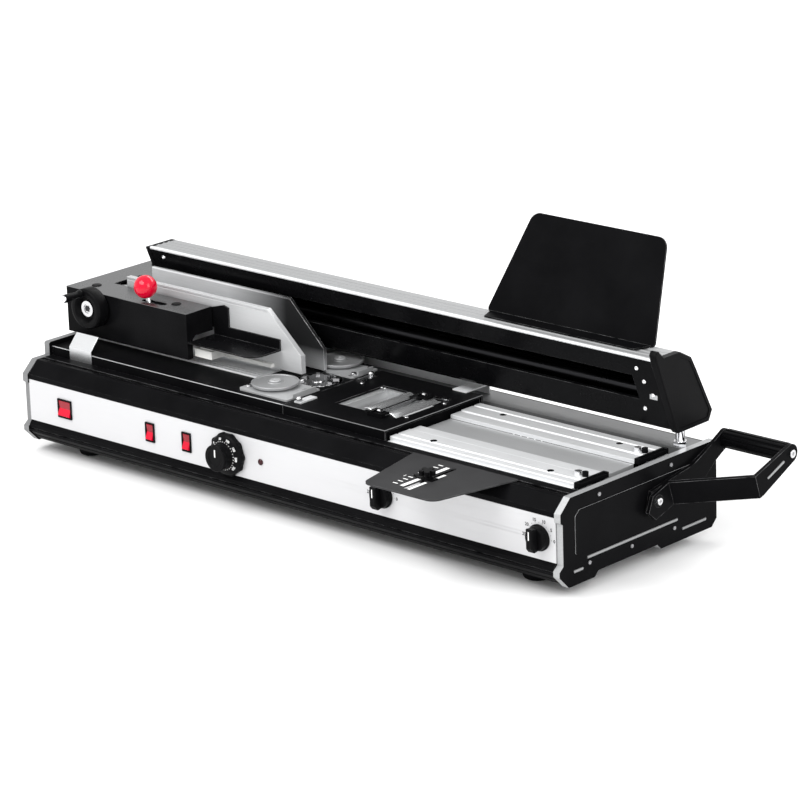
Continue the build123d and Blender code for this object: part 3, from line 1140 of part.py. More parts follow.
def build_parts():
    """Every sub-part by its node name."""
    return {
        "left_end_plate": left_end_plate(),
        "right_end_plate": right_end_plate(),
        "front_lower_rail": front_lower_rail(),
        "front_upper_rail": front_upper_rail(),
        "rear_rail": rear_rail(),
        "base_tray": base_tray(),
        "front_panel": front_panel(),
        "power_inlet": power_inlet(),
        "feet": feet(),
        "deck_cover": deck_cover(),
        "glue_cover": glue_cover(),
        "alignment_plate": alignment_plate(),
        "splash_wall": splash_wall(),
        "stop_bracket": stop_bracket(),
        "front_disc_slide": disc_slide(FRONT_DISC_Y, True, FRONT_SLIDE_Y0, FRONT_SLIDE_Y1, FRONT_SLIDE_TRAVEL),
        "rear_disc_slide": disc_slide(REAR_DISC_Y, False, REAR_SLIDE_Y0, REAR_SLIDE_Y1, REAR_SLIDE_TRAVEL),
        "front_disc": side_disc(FRONT_DISC_Y),
        "rear_disc": side_disc(REAR_DISC_Y),
        "spine_cutter": spine_cutter(),
        "drive_motors": drive_motors(),
        "glue_pot": glue_pot(),
        "left_glue_roller": glue_roller(LEFT_ROLLER_X),
        "right_glue_roller": glue_roller(LEFT_ROLLER_X + ROLLER_PITCH),
        "doctor_blade": doctor_blade(),
        "nip_platform": nip_platform(),
        "nip_front_jaw": nip_jaw(-1),
        "nip_rear_jaw": nip_jaw(1),
        "nip_front_fittings": nip_fittings(-1),
        "nip_rear_fittings": nip_fittings(1),
        "press_shaft": press_shaft(),
        "press_lever": press_lever(),
        "press_grip": press_grip(),
        "gauge_plate": gauge_plate(),
        "gauge_pointer": gauge_pointer(),
        "guide_beam": guide_beam(),
        "beam_top_cover": beam_top_cover(),
        "beam_end_caps": [beam_left_cap(), beam_right_cap()],
        "beam_posts": beam_posts(),
        "guide_shaft": guide_shaft(),
        "support_board": support_board(),
        "trolley_housing": trolley_housing(),
        "trolley_guides": trolley_bearings() + jaw_guides() + trolley_screws(),
        "front_jaw": front_jaw(),
        "jaw_ledge": jaw_ledge(),
        "jaw_pad": jaw_pad(),
        "rear_jaw": rear_jaw(),
        "clamp_screw": clamp_screw(),
        "handwheel": handwheel(),
        "crank_handle": crank_handle(),
        "clamp_lever": clamp_lever(),
        "lever_ball": lever_ball(),
        "rocker_bezels": rocker_bezels(),
        "main_rocker": rocker(MAIN_ROCKER_X, MAIN_ROCKER_WIDTH),
        "roller_rocker": rocker(ROLLER_ROCKER_X, SMALL_ROCKER_WIDTH),
        "cutter_rocker": rocker(CUTTER_ROCKER_X, SMALL_ROCKER_WIDTH),
        "thermostat_knob": thermostat_knob(),
        "left_timer_knob": bar_knob(LEFT_TIMER_X, TIMER_RADIUS, TIMER_RADIUS + 1, 20, 10),
        "right_timer_knob": bar_knob(RIGHT_TIMER_X, TIMER_RADIUS, TIMER_RADIUS + 1, 20, 10),
        "indicator_lamp": indicator_lamp(),
        "body_screws": body_screws(),
    }


def solids_of(shape):
    if isinstance(shape, list):
        return [solid for piece in shape for solid in piece.solids()]
    return list(shape.solids())


def machine_origin(parts):
    """The point of the table under the middle of the whole machine."""
    box = Compound(children=[solid for shape in parts.values() for solid in solids_of(shape)]).bounding_box()
    return (box.min.X + box.max.X) / 2, (box.min.Y + box.max.Y) / 2, box.min.Z


def main():
    parts = build_parts()
    x, y, z = machine_origin(parts)
    os.makedirs("parts", exist_ok=True)
    for name, shape in parts.items():
        moved = [Pos(-x, -y, -z) * solid for solid in solids_of(shape)]
        export_step(Compound(children=moved) if len(moved) > 1 else moved[0], f"parts/{name}.step")
    print("origin at", round(x, 3), round(y, 3), round(z, 3), "of the sketches;", len(parts), "sub-parts")


if __name__ == "__main__":
    main()
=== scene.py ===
import math

import bmesh
import bpy
from bpy.props import FloatProperty, FloatVectorProperty, PointerProperty
from mathutils import Matrix, Vector
from mathutils.bvhtree import BVHTree


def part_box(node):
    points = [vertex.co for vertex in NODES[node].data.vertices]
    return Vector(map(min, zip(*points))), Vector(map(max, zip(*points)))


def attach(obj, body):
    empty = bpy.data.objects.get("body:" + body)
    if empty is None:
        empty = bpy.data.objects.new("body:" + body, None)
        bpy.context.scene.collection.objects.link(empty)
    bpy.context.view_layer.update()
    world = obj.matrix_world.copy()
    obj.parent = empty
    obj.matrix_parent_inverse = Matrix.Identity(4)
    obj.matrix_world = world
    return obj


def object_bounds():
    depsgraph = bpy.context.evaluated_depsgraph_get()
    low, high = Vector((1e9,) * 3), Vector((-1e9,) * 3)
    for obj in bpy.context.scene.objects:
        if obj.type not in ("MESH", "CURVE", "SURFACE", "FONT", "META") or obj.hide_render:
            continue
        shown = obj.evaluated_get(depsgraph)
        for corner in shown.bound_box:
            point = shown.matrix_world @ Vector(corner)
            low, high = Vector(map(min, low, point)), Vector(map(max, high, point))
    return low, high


bl_info = {
    "name": "Hot melt binding machine",
    "version": (1, 0, 0),
    "blender": (4, 5, 0),
    "location": "3D View > Sidebar > Binder",
    "description": "Finishes and fine detail for a desktop hot melt binding machine",
    "category": "Object",
}

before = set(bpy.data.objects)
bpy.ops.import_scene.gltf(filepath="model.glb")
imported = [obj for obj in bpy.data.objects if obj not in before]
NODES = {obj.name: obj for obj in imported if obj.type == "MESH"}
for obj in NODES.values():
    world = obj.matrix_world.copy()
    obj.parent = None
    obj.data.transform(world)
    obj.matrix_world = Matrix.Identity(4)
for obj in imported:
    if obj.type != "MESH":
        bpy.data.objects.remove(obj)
CAD_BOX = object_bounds()
MM = 0.001

# The sketches' zero in the row frame: the middle of the body, and the end plates' front edge.
PLATE_OUTER_X = 481
PLATE_LOW, PLATE_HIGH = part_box("right_end_plate")
SKETCH = Vector((PLATE_HIGH.x - PLATE_OUTER_X * MM, PLATE_LOW.y, 0))

# Places of the machine, in the sketches' millimetres.
DECK_TOP = 140.0
DECK_FRONT = 51.5
DECK_LEFT, DECK_SPLIT, DECK_RIGHT, DECK_REAR = -470.0, -30.0, 149.6, 239.0
PANEL_FACE = 5.45
DIAL_Z = 74.5
TIMERS = (("left_timer", 186.0), ("right_timer", 444.0))
THERMOSTAT_X = -86.0
NIP_JAWS = (("nip_front_jaw", 79), ("nip_rear_jaw", 212))
NIP_SCREWS = (208, 401)


def at(x, y, z):
    """A point of the machine in millimetres, in the row frame."""
    return SKETCH + Vector((x, y, z)) * MM


# Shader groups

def add_node(tree, kind, **values):
    node = tree.nodes.new(kind)
    for key, value in values.items():
        setattr(node, key, value)
    return node


def feed(tree, socket, value):
    """Links a socket to another one, or gives it a plain value."""
    if hasattr(value, "is_linked"):
        tree.links.new(value, socket)
    else:
        socket.default_value = value


def feed_all(tree, node, **values):
    """Feeds the inputs of a node by name, with _ for a space."""
    for key, value in values.items():
        feed(tree, node.inputs[key.replace("_", " ")], value)


def group_of(name, inputs, outputs):
    """A new shader group with float inputs (name, default) and float outputs."""
    tree = bpy.data.node_groups.new(name, "ShaderNodeTree")
    for label, value in inputs:
        made = tree.interface.new_socket(label, in_out="INPUT", socket_type="NodeSocketFloat")
        made.default_value = value
    for label in outputs:
        tree.interface.new_socket(label, in_out="OUTPUT", socket_type="NodeSocketFloat")
    return tree, add_node(tree, "NodeGroupInput").outputs, add_node(tree, "NodeGroupOutput")


def maths(tree, operation, *values):
    node = add_node(tree, "ShaderNodeMath", operation=operation)
    for socket, value in zip(node.inputs, values):
        feed(tree, socket, value)
    return node.outputs[0]


def ranged(tree, value, low, high, to_low=0.0, to_high=1.0):
    node = add_node(tree, "ShaderNodeMapRange", clamp=True)
    feed_all(tree, node, Value=value, From_Min=low, From_Max=high, To_Min=to_low, To_Max=to_high)
    return node.outputs["Result"]


def spread(tree, grain, to_low=0.0, to_high=1.0):
    """The middle values of a noise, spread over a range."""
    return ranged(tree, grain, 0.3, 0.7, to_low, to_high)


def noise(tree, vector, scale, detail=3.0, roughness=0.5):
    node = add_node(tree, "ShaderNodeTexNoise")
    feed_all(tree, node, Vector=vector, Scale=scale, Detail=detail, Roughness=roughness)
    return node.outputs["Fac"]


def object_space(tree):
    return add_node(tree, "ShaderNodeTexCoord").outputs["Object"]


def parts_of(tree, vector):
    """The X, Y and Z outputs of a split vector."""
    node = add_node(tree, "ShaderNodeSeparateXYZ")
    feed_all(tree, node, Vector=vector)
    return node.outputs


def edge_wear_and_highlight_group():
    """A mask that is 1 along outside edges, broken up by noise; it marks worn edges and painted edge
    highlights alike.
    """
    tree, given, out = group_of("edge_wear_and_highlight", [("Width", 0.0006), ("Amount", 0.5)], ["Mask"])
    bevel = add_node(tree, "ShaderNodeBevel", samples=6)
    feed_all(tree, bevel, Radius=given["Width"])
    geometry = add_node(tree, "ShaderNodeNewGeometry")
    dot = add_node(tree, "ShaderNodeVectorMath", operation="DOT_PRODUCT")
    feed(tree, dot.inputs[0], bevel.outputs["Normal"])
    feed(tree, dot.inputs[1], geometry.outputs["Normal"])
    edge = ranged(tree, dot.outputs["Value"], 0.995, 0.9)
    broken = ranged(tree, noise(tree, object_space(tree), 60.0, 4.0), 0.35, 0.65)
    # the mask stands for edge wear and for painted highlights along the edges
    worn = maths(tree, "MULTIPLY", edge, maths(tree, "MULTIPLY", broken, given["Amount"]))
    feed_all(tree, out, Mask=worn)
    return tree


def brushed_grain_group():
    """Fine lines along one axis: the stretch values squeeze the other two."""
    tree, given, out = group_of(
        "brushed grain", [("Along X", 1.0), ("Along Y", 1.0), ("Along Z", 1.0), ("Fineness", 900.0)],
        ["Lines", "Cloud"],
    )
    place = object_space(tree)
    combine = add_node(tree, "ShaderNodeCombineXYZ")
    feed_all(tree, combine, X=given["Along X"], Y=given["Along Y"], Z=given["Along Z"])
    stretch = add_node(tree, "ShaderNodeVectorMath", operation="MULTIPLY")
    feed(tree, stretch.inputs[0], place)
    feed(tree, stretch.inputs[1], combine.outputs["Vector"])
    lines = noise(tree, stretch.outputs["Vector"], given["Fineness"], 2.0)
    feed_all(tree, out, Lines=lines, Cloud=noise(tree, place, 9.0, 3.0))
    return tree


def powder_grain_group():
    """The fine orange peel of a sprayed or moulded surface, and a slow change of tone."""
    tree, given, out = group_of("powder grain", [("Fineness", 1400.0)], ["Peel", "Tone"])
    place = object_space(tree)
    peel = noise(tree, place, given["Fineness"], 1.5)
    feed_all(tree, out, Peel=peel, Tone=noise(tree, place, 14.0, 4.0, 0.6))
    return tree


GROUPS = {}
GROUP_MAKERS = {
    "edge_wear_and_highlight": edge_wear_and_highlight_group,
    "brushed grain": brushed_grain_group,
    "powder grain": powder_grain_group,
}


def shared_group(tree, name, **values):
    """The outputs of a shader group that all materials share."""
    if name not in GROUPS:
        GROUPS[name] = GROUP_MAKERS[name]()
    node = add_node(tree, "ShaderNodeGroup", node_tree=GROUPS[name])
    feed_all(tree, node, **values)
    return node.outputs


# Materials

def dimmed(colour, factor):
    return tuple(c * factor for c in colour)


def lighter(colour, factor, more=0.001):
    return tuple(min(1.0, c * factor + more) for c in colour)


def fresh_material(name, **plain):
    material = bpy.data.materials.new(name)
    material.use_nodes = True
    tree = material.node_tree
    shader = next(node for node in tree.nodes if node.type == "BSDF_PRINCIPLED")
    feed_all(tree, shader, **plain)
    return material, tree, shader


def mixed_colour(tree, mask, low, high):
    """Goes from one colour to the other with the mask; 6 and 7 are the mix node's colour inputs."""
    node = add_node(tree, "ShaderNodeMix", data_type="RGBA")
    feed_all(tree, node, Factor=mask)
    for index, value in ((6, low), (7, high)):
        feed(tree, node.inputs[index], value if hasattr(value, "is_linked") else (*value, 1.0))
    return node.outputs[2]


def bumped(tree, shader, height, strength, distance):
    bump = add_node(tree, "ShaderNodeBump")
    feed_all(tree, bump, Strength=strength, Distance=distance, Height=height)
    feed_all(tree, shader, Normal=bump.outputs["Normal"])


def black_coat(name, colour, roughness=0.38, wear_and_highlight=0.8, peel=0.12, specular=0.02):
    """Sprayed black metal with a soft sheen, and thin bright edges that are partly wear and partly
    painted highlight.
    """
    material, tree, shader = fresh_material(name, Specular_IOR_Level=specular)
    grain = shared_group(tree, "powder grain", Fineness=1500.0)
    edges = shared_group(tree, "edge_wear_and_highlight", Width=0.0009, Amount=wear_and_highlight)
    tone = mixed_colour(tree, spread(tree, grain["Tone"]), colour, lighter(colour, 1.4))
    # painted highlight and wear: the edges are mixed towards light grey
    worn = mixed_colour(tree, edges["Mask"], tone, (0.24, 0.24, 0.245))
    rough = spread(tree, grain["Tone"], roughness - 0.05, roughness + 0.08)
    feed_all(tree, shader, Base_Color=worn, Metallic=0.0, Roughness=rough)
    bumped(tree, shader, grain["Peel"], peel, 0.00006)
    return material


def brushed_silver(
    name, colour, along, roughness=0.3, fineness=900.0, shade=0.93, metal=1.0, relief=0.04,
):
    """Bare metal with fine lines along one axis."""
    material, tree, shader = fresh_material(name)
    x, y, z = (0.02 if axis == along else 1.0 for axis in "XYZ")
    grain = shared_group(tree, "brushed grain", Along_X=x, Along_Y=y, Along_Z=z, Fineness=fineness)
    tone = mixed_colour(tree, spread(tree, grain["Lines"]), dimmed(colour, shade), colour)
    rough = maths(tree, "ADD", spread(tree, grain["Lines"], roughness - 0.05, roughness + 0.07),
                  ranged(tree, grain["Cloud"], 0.35, 0.65, -0.03, 0.03))
    feed_all(tree, shader, Base_Color=tone, Metallic=metal, Roughness=rough)
    bumped(tree, shader, grain["Lines"], relief, 0.00004)
    return material


def shaded_silver(name, colour, dark=(0.02, 0.02, 0.021)):
    """Sheet of the rear jaw: bare metal with painted shade that darkens it towards its slanted right end
    and its top, and painted highlights along its edges.
    """
    material, tree, shader = fresh_material(name, Metallic=0.35, Roughness=0.36)
    grain = shared_group(tree, "brushed grain", Along_X=0.02, Along_Y=1.0, Along_Z=1.0, Fineness=900.0)
    edges = shared_group(tree, "edge_wear_and_highlight", Width=0.0012, Amount=2.5)
    place = parts_of(tree, object_space(tree))
    # painted shade: the sheet turns dark towards its right end and its top
    rightward = ranged(tree, place["X"], at(-260, 0, 0).x, at(-150, 0, 0).x)
    upward = ranged(tree, place["Z"], 148 * MM, 172 * MM, 0.35, 1.0)
    tone = mixed_colour(tree, spread(tree, grain["Lines"]), dimmed(colour, 0.93), colour)
    shade = mixed_colour(tree, maths(tree, "MULTIPLY", rightward, upward), tone, dark)
    # painted highlight: the edges are mixed towards near white
    feed_all(tree, shader, Base_Color=mixed_colour(tree, edges["Mask"], shade, (0.8, 0.8, 0.81)))
    bumped(tree, shader, grain["Lines"], 0.04, 0.00004)
    return material


def faced_black(name, colour, silver):
    """Black on the broad faces and bare metal on the cut edges of a thick upright plate."""
    material, tree, shader = fresh_material(name, Specular_IOR_Level=0.02)
    grain = shared_group(tree, "powder grain", Fineness=1500.0)
    lines = shared_group(tree, "brushed grain", Along_X=1.0, Along_Y=1.0, Along_Z=1.0, Fineness=700.0)
    facing = parts_of(tree, add_node(tree, "ShaderNodeTexCoord").outputs["Normal"])
    broad = ranged(tree, maths(tree, "ABSOLUTE", facing["X"]), 0.6, 0.7)
    tone = mixed_colour(tree, spread(tree, grain["Tone"]), colour, lighter(colour, 1.4))
    bare = mixed_colour(tree, spread(tree, lines["Lines"]), dimmed(silver, 0.85), silver)
    worn = mixed_colour(tree, broad, bare, tone)
    metal = ranged(tree, broad, 0.0, 1.0, 0.4, 0.0)
    rough = spread(tree, grain["Tone"], 0.3, 0.42)
    feed_all(tree, shader, Base_Color=worn, Metallic=metal, Roughness=rough)
    bumped(tree, shader, grain["Peel"], 0.1, 0.00006)
    return material


def turned_steel(name, colour, roughness=0.22, metal=1.0):
    """Turned or ground steel: fine mottled polish with darker specks, and edges painted bright as
    highlights.
    """
    material, tree, shader = fresh_material(name)
    grain = shared_group(tree, "powder grain", Fineness=600.0)
    edges = shared_group(tree, "edge_wear_and_highlight", Width=0.0006, Amount=1.5)
    tone = mixed_colour(tree, spread(tree, grain["Tone"]), dimmed(colour, 0.9), colour)
    # painted highlight: the edges are mixed towards near white
    bright = mixed_colour(tree, edges["Mask"], tone, (0.9, 0.9, 0.91))
    rough = spread(tree, grain["Tone"], roughness - 0.04, roughness + 0.06)
    feed_all(tree, shader, Base_Color=bright, Metallic=metal, Roughness=rough)
    bumped(tree, shader, grain["Peel"], 0.02, 0.00002)
    return material


def moulded(name, colour, roughness=0.45, peel=0.2, fineness=900.0, gloss=0.0, specular=0.05):
    """Moulded plastic, rubber, nylon or print with a fine texture."""
    material, tree, shader = fresh_material(name, Coat_Weight=gloss, Specular_IOR_Level=specular)
    grain = shared_group(tree, "powder grain", Fineness=fineness)
    tone = mixed_colour(tree, spread(tree, grain["Tone"]), colour, lighter(colour, 1.2))
    rough = spread(tree, grain["Peel"], max(0.04, roughness - 0.05), roughness + 0.06)
    feed_all(tree, shader, Base_Color=tone, Metallic=0.0, Roughness=rough)
    bumped(tree, shader, grain["Peel"], peel, 0.00008)
    return material


def plate_and_box(name, black, grey):
    """Satin grey metal on the running plate and black coat on the folded box below it."""
    material, tree, shader = fresh_material(name, Specular_IOR_Level=0.025)
    grain = shared_group(tree, "powder grain", Fineness=1300.0)
    place = parts_of(tree, object_space(tree))
    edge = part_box("trolley_housing")[1].z - 0.6 * MM
    top = ranged(tree, place["Z"], edge - 0.05 * MM, edge + 0.05 * MM)
    tone = spread(tree, grain["Tone"])
    coat = mixed_colour(tree, tone, black, lighter(black, 1.6, 0.002))
    satin = mixed_colour(tree, tone, dimmed(grey, 0.9), grey)
    both = mixed_colour(tree, top, coat, satin)
    rough = spread(tree, grain["Peel"], 0.24, 0.36)
    feed_all(tree, shader, Base_Color=both, Metallic=top, Roughness=rough)
    bumped(tree, shader, grain["Peel"], 0.1, 0.00006)
    return material


def finishes():
    """Every finish by name: its function and, in that function's order, its colour and other values."""
    look = bpy.context.scene.binder_finish
    black = tuple(look.coat_colour)
    silver = tuple(look.silver_colour)
    panel = tuple(look.panel_colour)
    steel = tuple(look.steel_colour)
    red = tuple(look.red_colour)
    return {
        "black coat": (black_coat, black),
        "gloss black coat": (black_coat, black, 0.24, 0.6, 0.05, 0.03),
        # strong painted highlights along the edges of this coat, with some wear
        "lined black coat": (black_coat, black, 0.36, 2.2),
        "grey plate": (black_coat, (0.032, 0.032, 0.033), 0.4, 0.5, 0.08),
        "black edged plate": (faced_black, black, dimmed(silver, 0.55)),
        # the left plate's bare edges darkened as painted shade
        "dim edged plate": (faced_black, black, dimmed(silver, 0.3)),
        "plate and box": (plate_and_box, black, (0.16, 0.162, 0.165)),
        "shaded silver": (shaded_silver, dimmed(silver, 0.8)),
        "bright strip": (brushed_silver, silver, "Y", 0.45, 1200.0, 0.9, 0.5),
        "cast silver": (brushed_silver, dimmed(silver, 0.7), "Y", 0.36, 300.0, 0.8, 0.5, 0.15),
        "cover grey": (brushed_silver, dimmed(silver, 0.4), "X", 0.55, 700.0, 0.9, 0.3),
        # bare metal in grooves, also used as painted highlights on edges and on the lever's rib
        "groove metal": (brushed_silver, dimmed(silver, 0.38), "Y", 0.5, 900.0, 0.9, 0.3),
        "jaw silver": (brushed_silver, dimmed(silver, 0.72), "X", 0.45, 900.0, 0.93, 0.4),
        "panel silver": (brushed_silver, panel, "X", 0.5, 1400.0, 0.97, 0.3, 0.02),
        "rail grey": (brushed_silver, dimmed(silver, 0.22), "X", 0.5, 900.0, 0.9, 0.5),
        "satin grey": (brushed_silver, dimmed(silver, 0.62), "X", 0.5, 1200.0, 0.95, 0.5),
        "satin silver": (brushed_silver, dimmed(silver, 0.95), "X", 0.5, 1200.0, 0.95, 0.4),
        "silver across": (brushed_silver, silver, "Y", 0.34),
        "wall silver": (brushed_silver, dimmed(silver, 0.95), "X", 0.5, 1200.0, 0.95, 0.1),
        "black oxide": (turned_steel, (0.035, 0.035, 0.038), 0.3),
        "bright screw": (turned_steel, (0.86, 0.86, 0.87), 0.3),
        "chrome": (turned_steel, (0.85, 0.85, 0.87), 0.08),
        "dull screw": (turned_steel, (0.3, 0.3, 0.31), 0.4, 0.6),
        "ground steel": (turned_steel, steel),
        "roller steel": (turned_steel, dimmed(silver, 0.85), 0.2, 0.75),
        "turned disc": (turned_steel, dimmed(silver, 0.47), 0.36, 0.5),
        "black moulding": (moulded, black, 0.4),
        "dark print": (moulded, (0.012, 0.012, 0.013), 0.5, 0.02, 900.0),
        # a darker copy of the red: painted shade on the rockers' upper halves
        "deep red": (moulded, dimmed(red, 0.45), 0.14, 0.02, 500.0, 0.15, 0.3),
        "nylon": (moulded, (0.78, 0.78, 0.76), 0.5, 0.1),
        "red moulding": (moulded, red, 0.14, 0.02, 500.0, 0.15, 0.3),
        "rubber": (moulded, black, 0.72, 0.35, 700.0),
        "smoked lens": (moulded, (0.03, 0.006, 0.008), 0.15, 0.03, 500.0, 0.4),
        "white print": (moulded, (0.85, 0.85, 0.84), 0.5, 0.02, 900.0),
    }


MATERIALS = {}


def finish_of(name):
    """The finish with that name, made once from the panel's colours."""
    if name not in MATERIALS:
        make, *values = finishes()[name]
        MATERIALS[name] = make(name, *values)
    return MATERIALS[name]


# Dressing of the carried-over sub-parts

BEVEL_ANGLE = math.radians(35)


def dress(finish, names, edge=0.4):
    """Gives sub-parts their finish and a small bevel on their outside edges, in millimetres."""
    for name in names:
        node = NODES[name]
        node.data.materials.clear()
        node.data.materials.append(finish_of(finish))
        if edge:
            weld = node.modifiers.new("weld", "WELD")
            weld.merge_threshold = 0.01 * MM
            bevel = node.modifiers.new("edges", "BEVEL")
            bevel.width = edge * bpy.context.scene.binder_sizes.edge_bevel * MM
            bevel.segments = 2
            bevel.limit_method = "ANGLE"
            bevel.angle_limit = BEVEL_ANGLE
            bevel.use_clamp_overlap = True
            bevel.harden_normals = True


def tint(name, finish, low, high):
    """Another finish on those faces of a dressed sub-part whose middles lie between two points."""
    node = NODES[name]
    node.data.materials.append(finish_of(finish))
    index = len(node.data.materials) - 1
    near, far = at(*low), at(*high)
    for face in node.data.polygons:
        middle = node.matrix_world @ face.center
        if all(near[axis] <= middle[axis] <= far[axis] for axis in range(3)):
            face.material_index = index


TREES = {}


def on_face(name, point, way):
    """The spot where a ray from a point in millimetres first meets a sub-part, in the row frame."""
    if name not in TREES:
        node = NODES[name]
        corners = [node.matrix_world @ vertex.co for vertex in node.data.vertices]
        faces = [tuple(face.vertices) for face in node.data.polygons]
        TREES[name] = BVHTree.FromPolygons(corners, faces)
    spot = TREES[name].ray_cast(at(*point), Vector(way))[0]
    if spot is None:
        raise RuntimeError("nothing of " + name + " lies that way from " + str(point))
    return spot


# Meshes

def linked(name, mesh, finish, body, smooth=False):
    """A piece at the origin with its finish, riding with a body of the machine."""
    mesh.materials.clear()
    mesh.materials.append(finish_of(finish))
    for face in mesh.polygons:
        face.use_smooth = smooth
    piece = bpy.data.objects.new(name, mesh)
    bpy.context.scene.collection.objects.link(piece)
    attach(piece, body)
    return piece


def mesh_of(name, build):
    """A mesh from a function that fills a bmesh, with its normals turned outwards."""
    made = bmesh.new()
    build(made)
    bmesh.ops.recalc_face_normals(made, faces=made.faces)
    mesh = bpy.data.meshes.new(name)
    made.to_mesh(mesh)
    made.free()
    return mesh


def add_box(made, middle, sizes):
    """A box round a point in the row frame, with its three sizes in millimetres."""
    scale = Matrix.Diagonal((*[size * MM for size in sizes], 1.0))
    bmesh.ops.create_cube(made, size=1.0, matrix=Matrix.Translation(middle) @ scale)


def add_bar(made, low, high):
    """A small bar between two corners in millimetres."""
    add_box(made, (at(*low) + at(*high)) / 2, [abs(b - a) for a, b in zip(low, high)])


def add_prism(made, points, normal):
    """A prism from a flat outline of points in the row frame, raised along a vector."""
    base = [made.verts.new(point) for point in points]
    top = [made.verts.new(Vector(point) + normal) for point in points]
    made.faces.new(base[::-1])
    made.faces.new(top)
    for index in range(len(points)):
        after = (index + 1) % len(points)
        made.faces.new((base[index], base[after], top[after], top[index]))


def add_turned(made, profile, centre, axis, steps):
    """A turned form from (radius, height) pairs in millimetres around an axis."""
    turn = Vector((0, 0, 1)).rotation_difference(Vector(axis)).to_matrix()
    rings = []
    for radius, height in profile:
        if radius == 0:
            rings.append([made.verts.new(centre + turn @ Vector((0, 0, height * MM)))])
            continue
        ring = []
        for step in range(steps):
            angle = 2 * math.pi * step / steps
            local = Vector((radius * math.cos(angle), radius * math.sin(angle), height)) * MM
            ring.append(made.verts.new(centre + turn @ local))
        rings.append(ring)
    for lower, upper in zip(rings, rings[1:]):
        for step in range(steps):
            after = (step + 1) % steps
            if len(lower) == 1:
                made.faces.new((lower[0], upper[after], upper[step]))
            elif len(upper) == 1:
                made.faces.new((lower[step], lower[after], upper[0]))
            else:
                made.faces.new((lower[step], lower[after], upper[after], upper[step]))


def bars(name, corners, finish, body):
    """A piece of small bars, each between two corners in millimetres."""
    mesh = mesh_of(name, lambda made: [add_bar(made, low, high) for low, high in corners])
    return linked(name, mesh, finish, body)


ORIGIN = Vector((0, 0, 0))
FRONTWARD = (0, -1, 0)
SCREW_HEAD = [
    (0, 0.5), (0.9, 0.5), (1.1, 1.5), (1.7, 1.5), (2.5, 1.0), (3.0, 0.25), (3.0, -0.1), (0, -0.1),
]


def round_dot(name, radius, rise, steps):
    """A template of one printed dot on the front, in millimetres."""
    profile = [(0, -rise), (radius, -rise), (radius, rise), (0, rise)]
    return mesh_of(name, lambda made: add_turned(made, profile, ORIGIN, FRONTWARD, steps))


def repeat_group():
    """Puts a copy of a template on every point of a mesh, joins the copies and gives them a finish."""
    tree = bpy.data.node_groups.new("copies on points", "GeometryNodeTree")
    for label, way, kind in (
        ("Geometry", "INPUT", "Geometry"), ("Template", "INPUT", "Object"), ("Size", "INPUT", "Float"),
        ("Finish", "INPUT", "Material"), ("Geometry", "OUTPUT", "Geometry"),
    ):
        tree.interface.new_socket(label, in_out=way, socket_type="NodeSocket" + kind)
    given = add_node(tree, "NodeGroupInput").outputs
    out = add_node(tree, "NodeGroupOutput")
    template = add_node(tree, "GeometryNodeObjectInfo")
    copies = add_node(tree, "GeometryNodeInstanceOnPoints")
    joined = add_node(tree, "GeometryNodeRealizeInstances")
    finish = add_node(tree, "GeometryNodeSetMaterial")
    feed_all(tree, template, Object=given["Template"])
    feed_all(tree, copies, Points=given["Geometry"], Scale=given["Size"])
    feed_all(tree, copies, Instance=template.outputs["Geometry"])
    feed_all(tree, joined, Geometry=copies.outputs["Instances"])
    feed_all(tree, finish, Geometry=joined.outputs["Geometry"], Material=given["Finish"])
    feed_all(tree, out, Geometry=finish.outputs["Geometry"])
    return tree


def evaluated_mesh(made):
    """A new mesh of what an object's modifiers or its curve give."""
    graph = bpy.context.evaluated_depsgraph_get()
    graph.update()
    return bpy.data.meshes.new_from_object(made.evaluated_get(graph))


def repeated(name, template, places, finish, body, size=1.0, smooth=False):
    """One mesh with a copy of the template mesh on every place (points in the row frame)."""
    group = bpy.data.node_groups.get("copies on points") or repeat_group()
    pattern = bpy.data.objects.new(name + " pattern", template)
    host_mesh = bpy.data.meshes.new(name + " places")
    host_mesh.from_pydata([tuple(place) for place in places], [], [])
    host = bpy.data.objects.new(name + " places", host_mesh)
    for made in (pattern, host):
        bpy.context.scene.collection.objects.link(made)
    modifier = host.modifiers.new("copies", "NODES")
    modifier.node_group = group
    keys = {item.name: item.identifier for item in group.interface.items_tree if item.in_out == "INPUT"}
    modifier[keys["Template"]] = pattern
    modifier[keys["Size"]] = size
    modifier[keys["Finish"]] = finish_of(finish)
    mesh = evaluated_mesh(host)
    if not mesh.polygons:
        raise RuntimeError("no copies were made for " + name)
    host.modifiers.clear()
    for made in (host, pattern):
        bpy.data.objects.remove(made)
    return linked(name, mesh, finish, body, smooth)


def screw_heads(name, spots, axis, finish, body, size):
    """Round socket heads on the spots, looking along an axis; size 1 is 6 mm across."""
    template = mesh_of(name + " head", lambda made: add_turned(made, SCREW_HEAD, ORIGIN, axis, 20))
    return repeated(name, template, spots, finish, body, size, True)


def lettered(name, marks, height, finish, body):
    """Raised numbers: each mark is a word, its middle, its right-hand way and its upward way."""
    made = bmesh.new()
    for word, middle, right, up in marks:
        curve = bpy.data.curves.new(name, "FONT")
        curve.body = word
        curve.size = height * 1.38 * MM
        curve.extrude = 0.05 * MM
        curve.offset = 0.03 * height * MM
        curve.align_x = "CENTER"
        curve.align_y = "CENTER"
        curve.resolution_u = 2
        text = bpy.data.objects.new(name, curve)
        bpy.context.scene.collection.objects.link(text)
        flat = evaluated_mesh(text)
        turn = Matrix((right, up, right.cross(up))).transposed().to_4x4()
        flat.transform(Matrix.Translation(middle) @ turn)
        made.from_mesh(flat)
        bpy.data.objects.remove(text)
        bpy.data.curves.remove(curve)
        bpy.data.meshes.remove(flat)
    bmesh.ops.recalc_face_normals(made, faces=made.faces)
    mesh = bpy.data.meshes.new(name)
    made.to_mesh(mesh)
    made.free()
    return linked(name, mesh, finish, body)


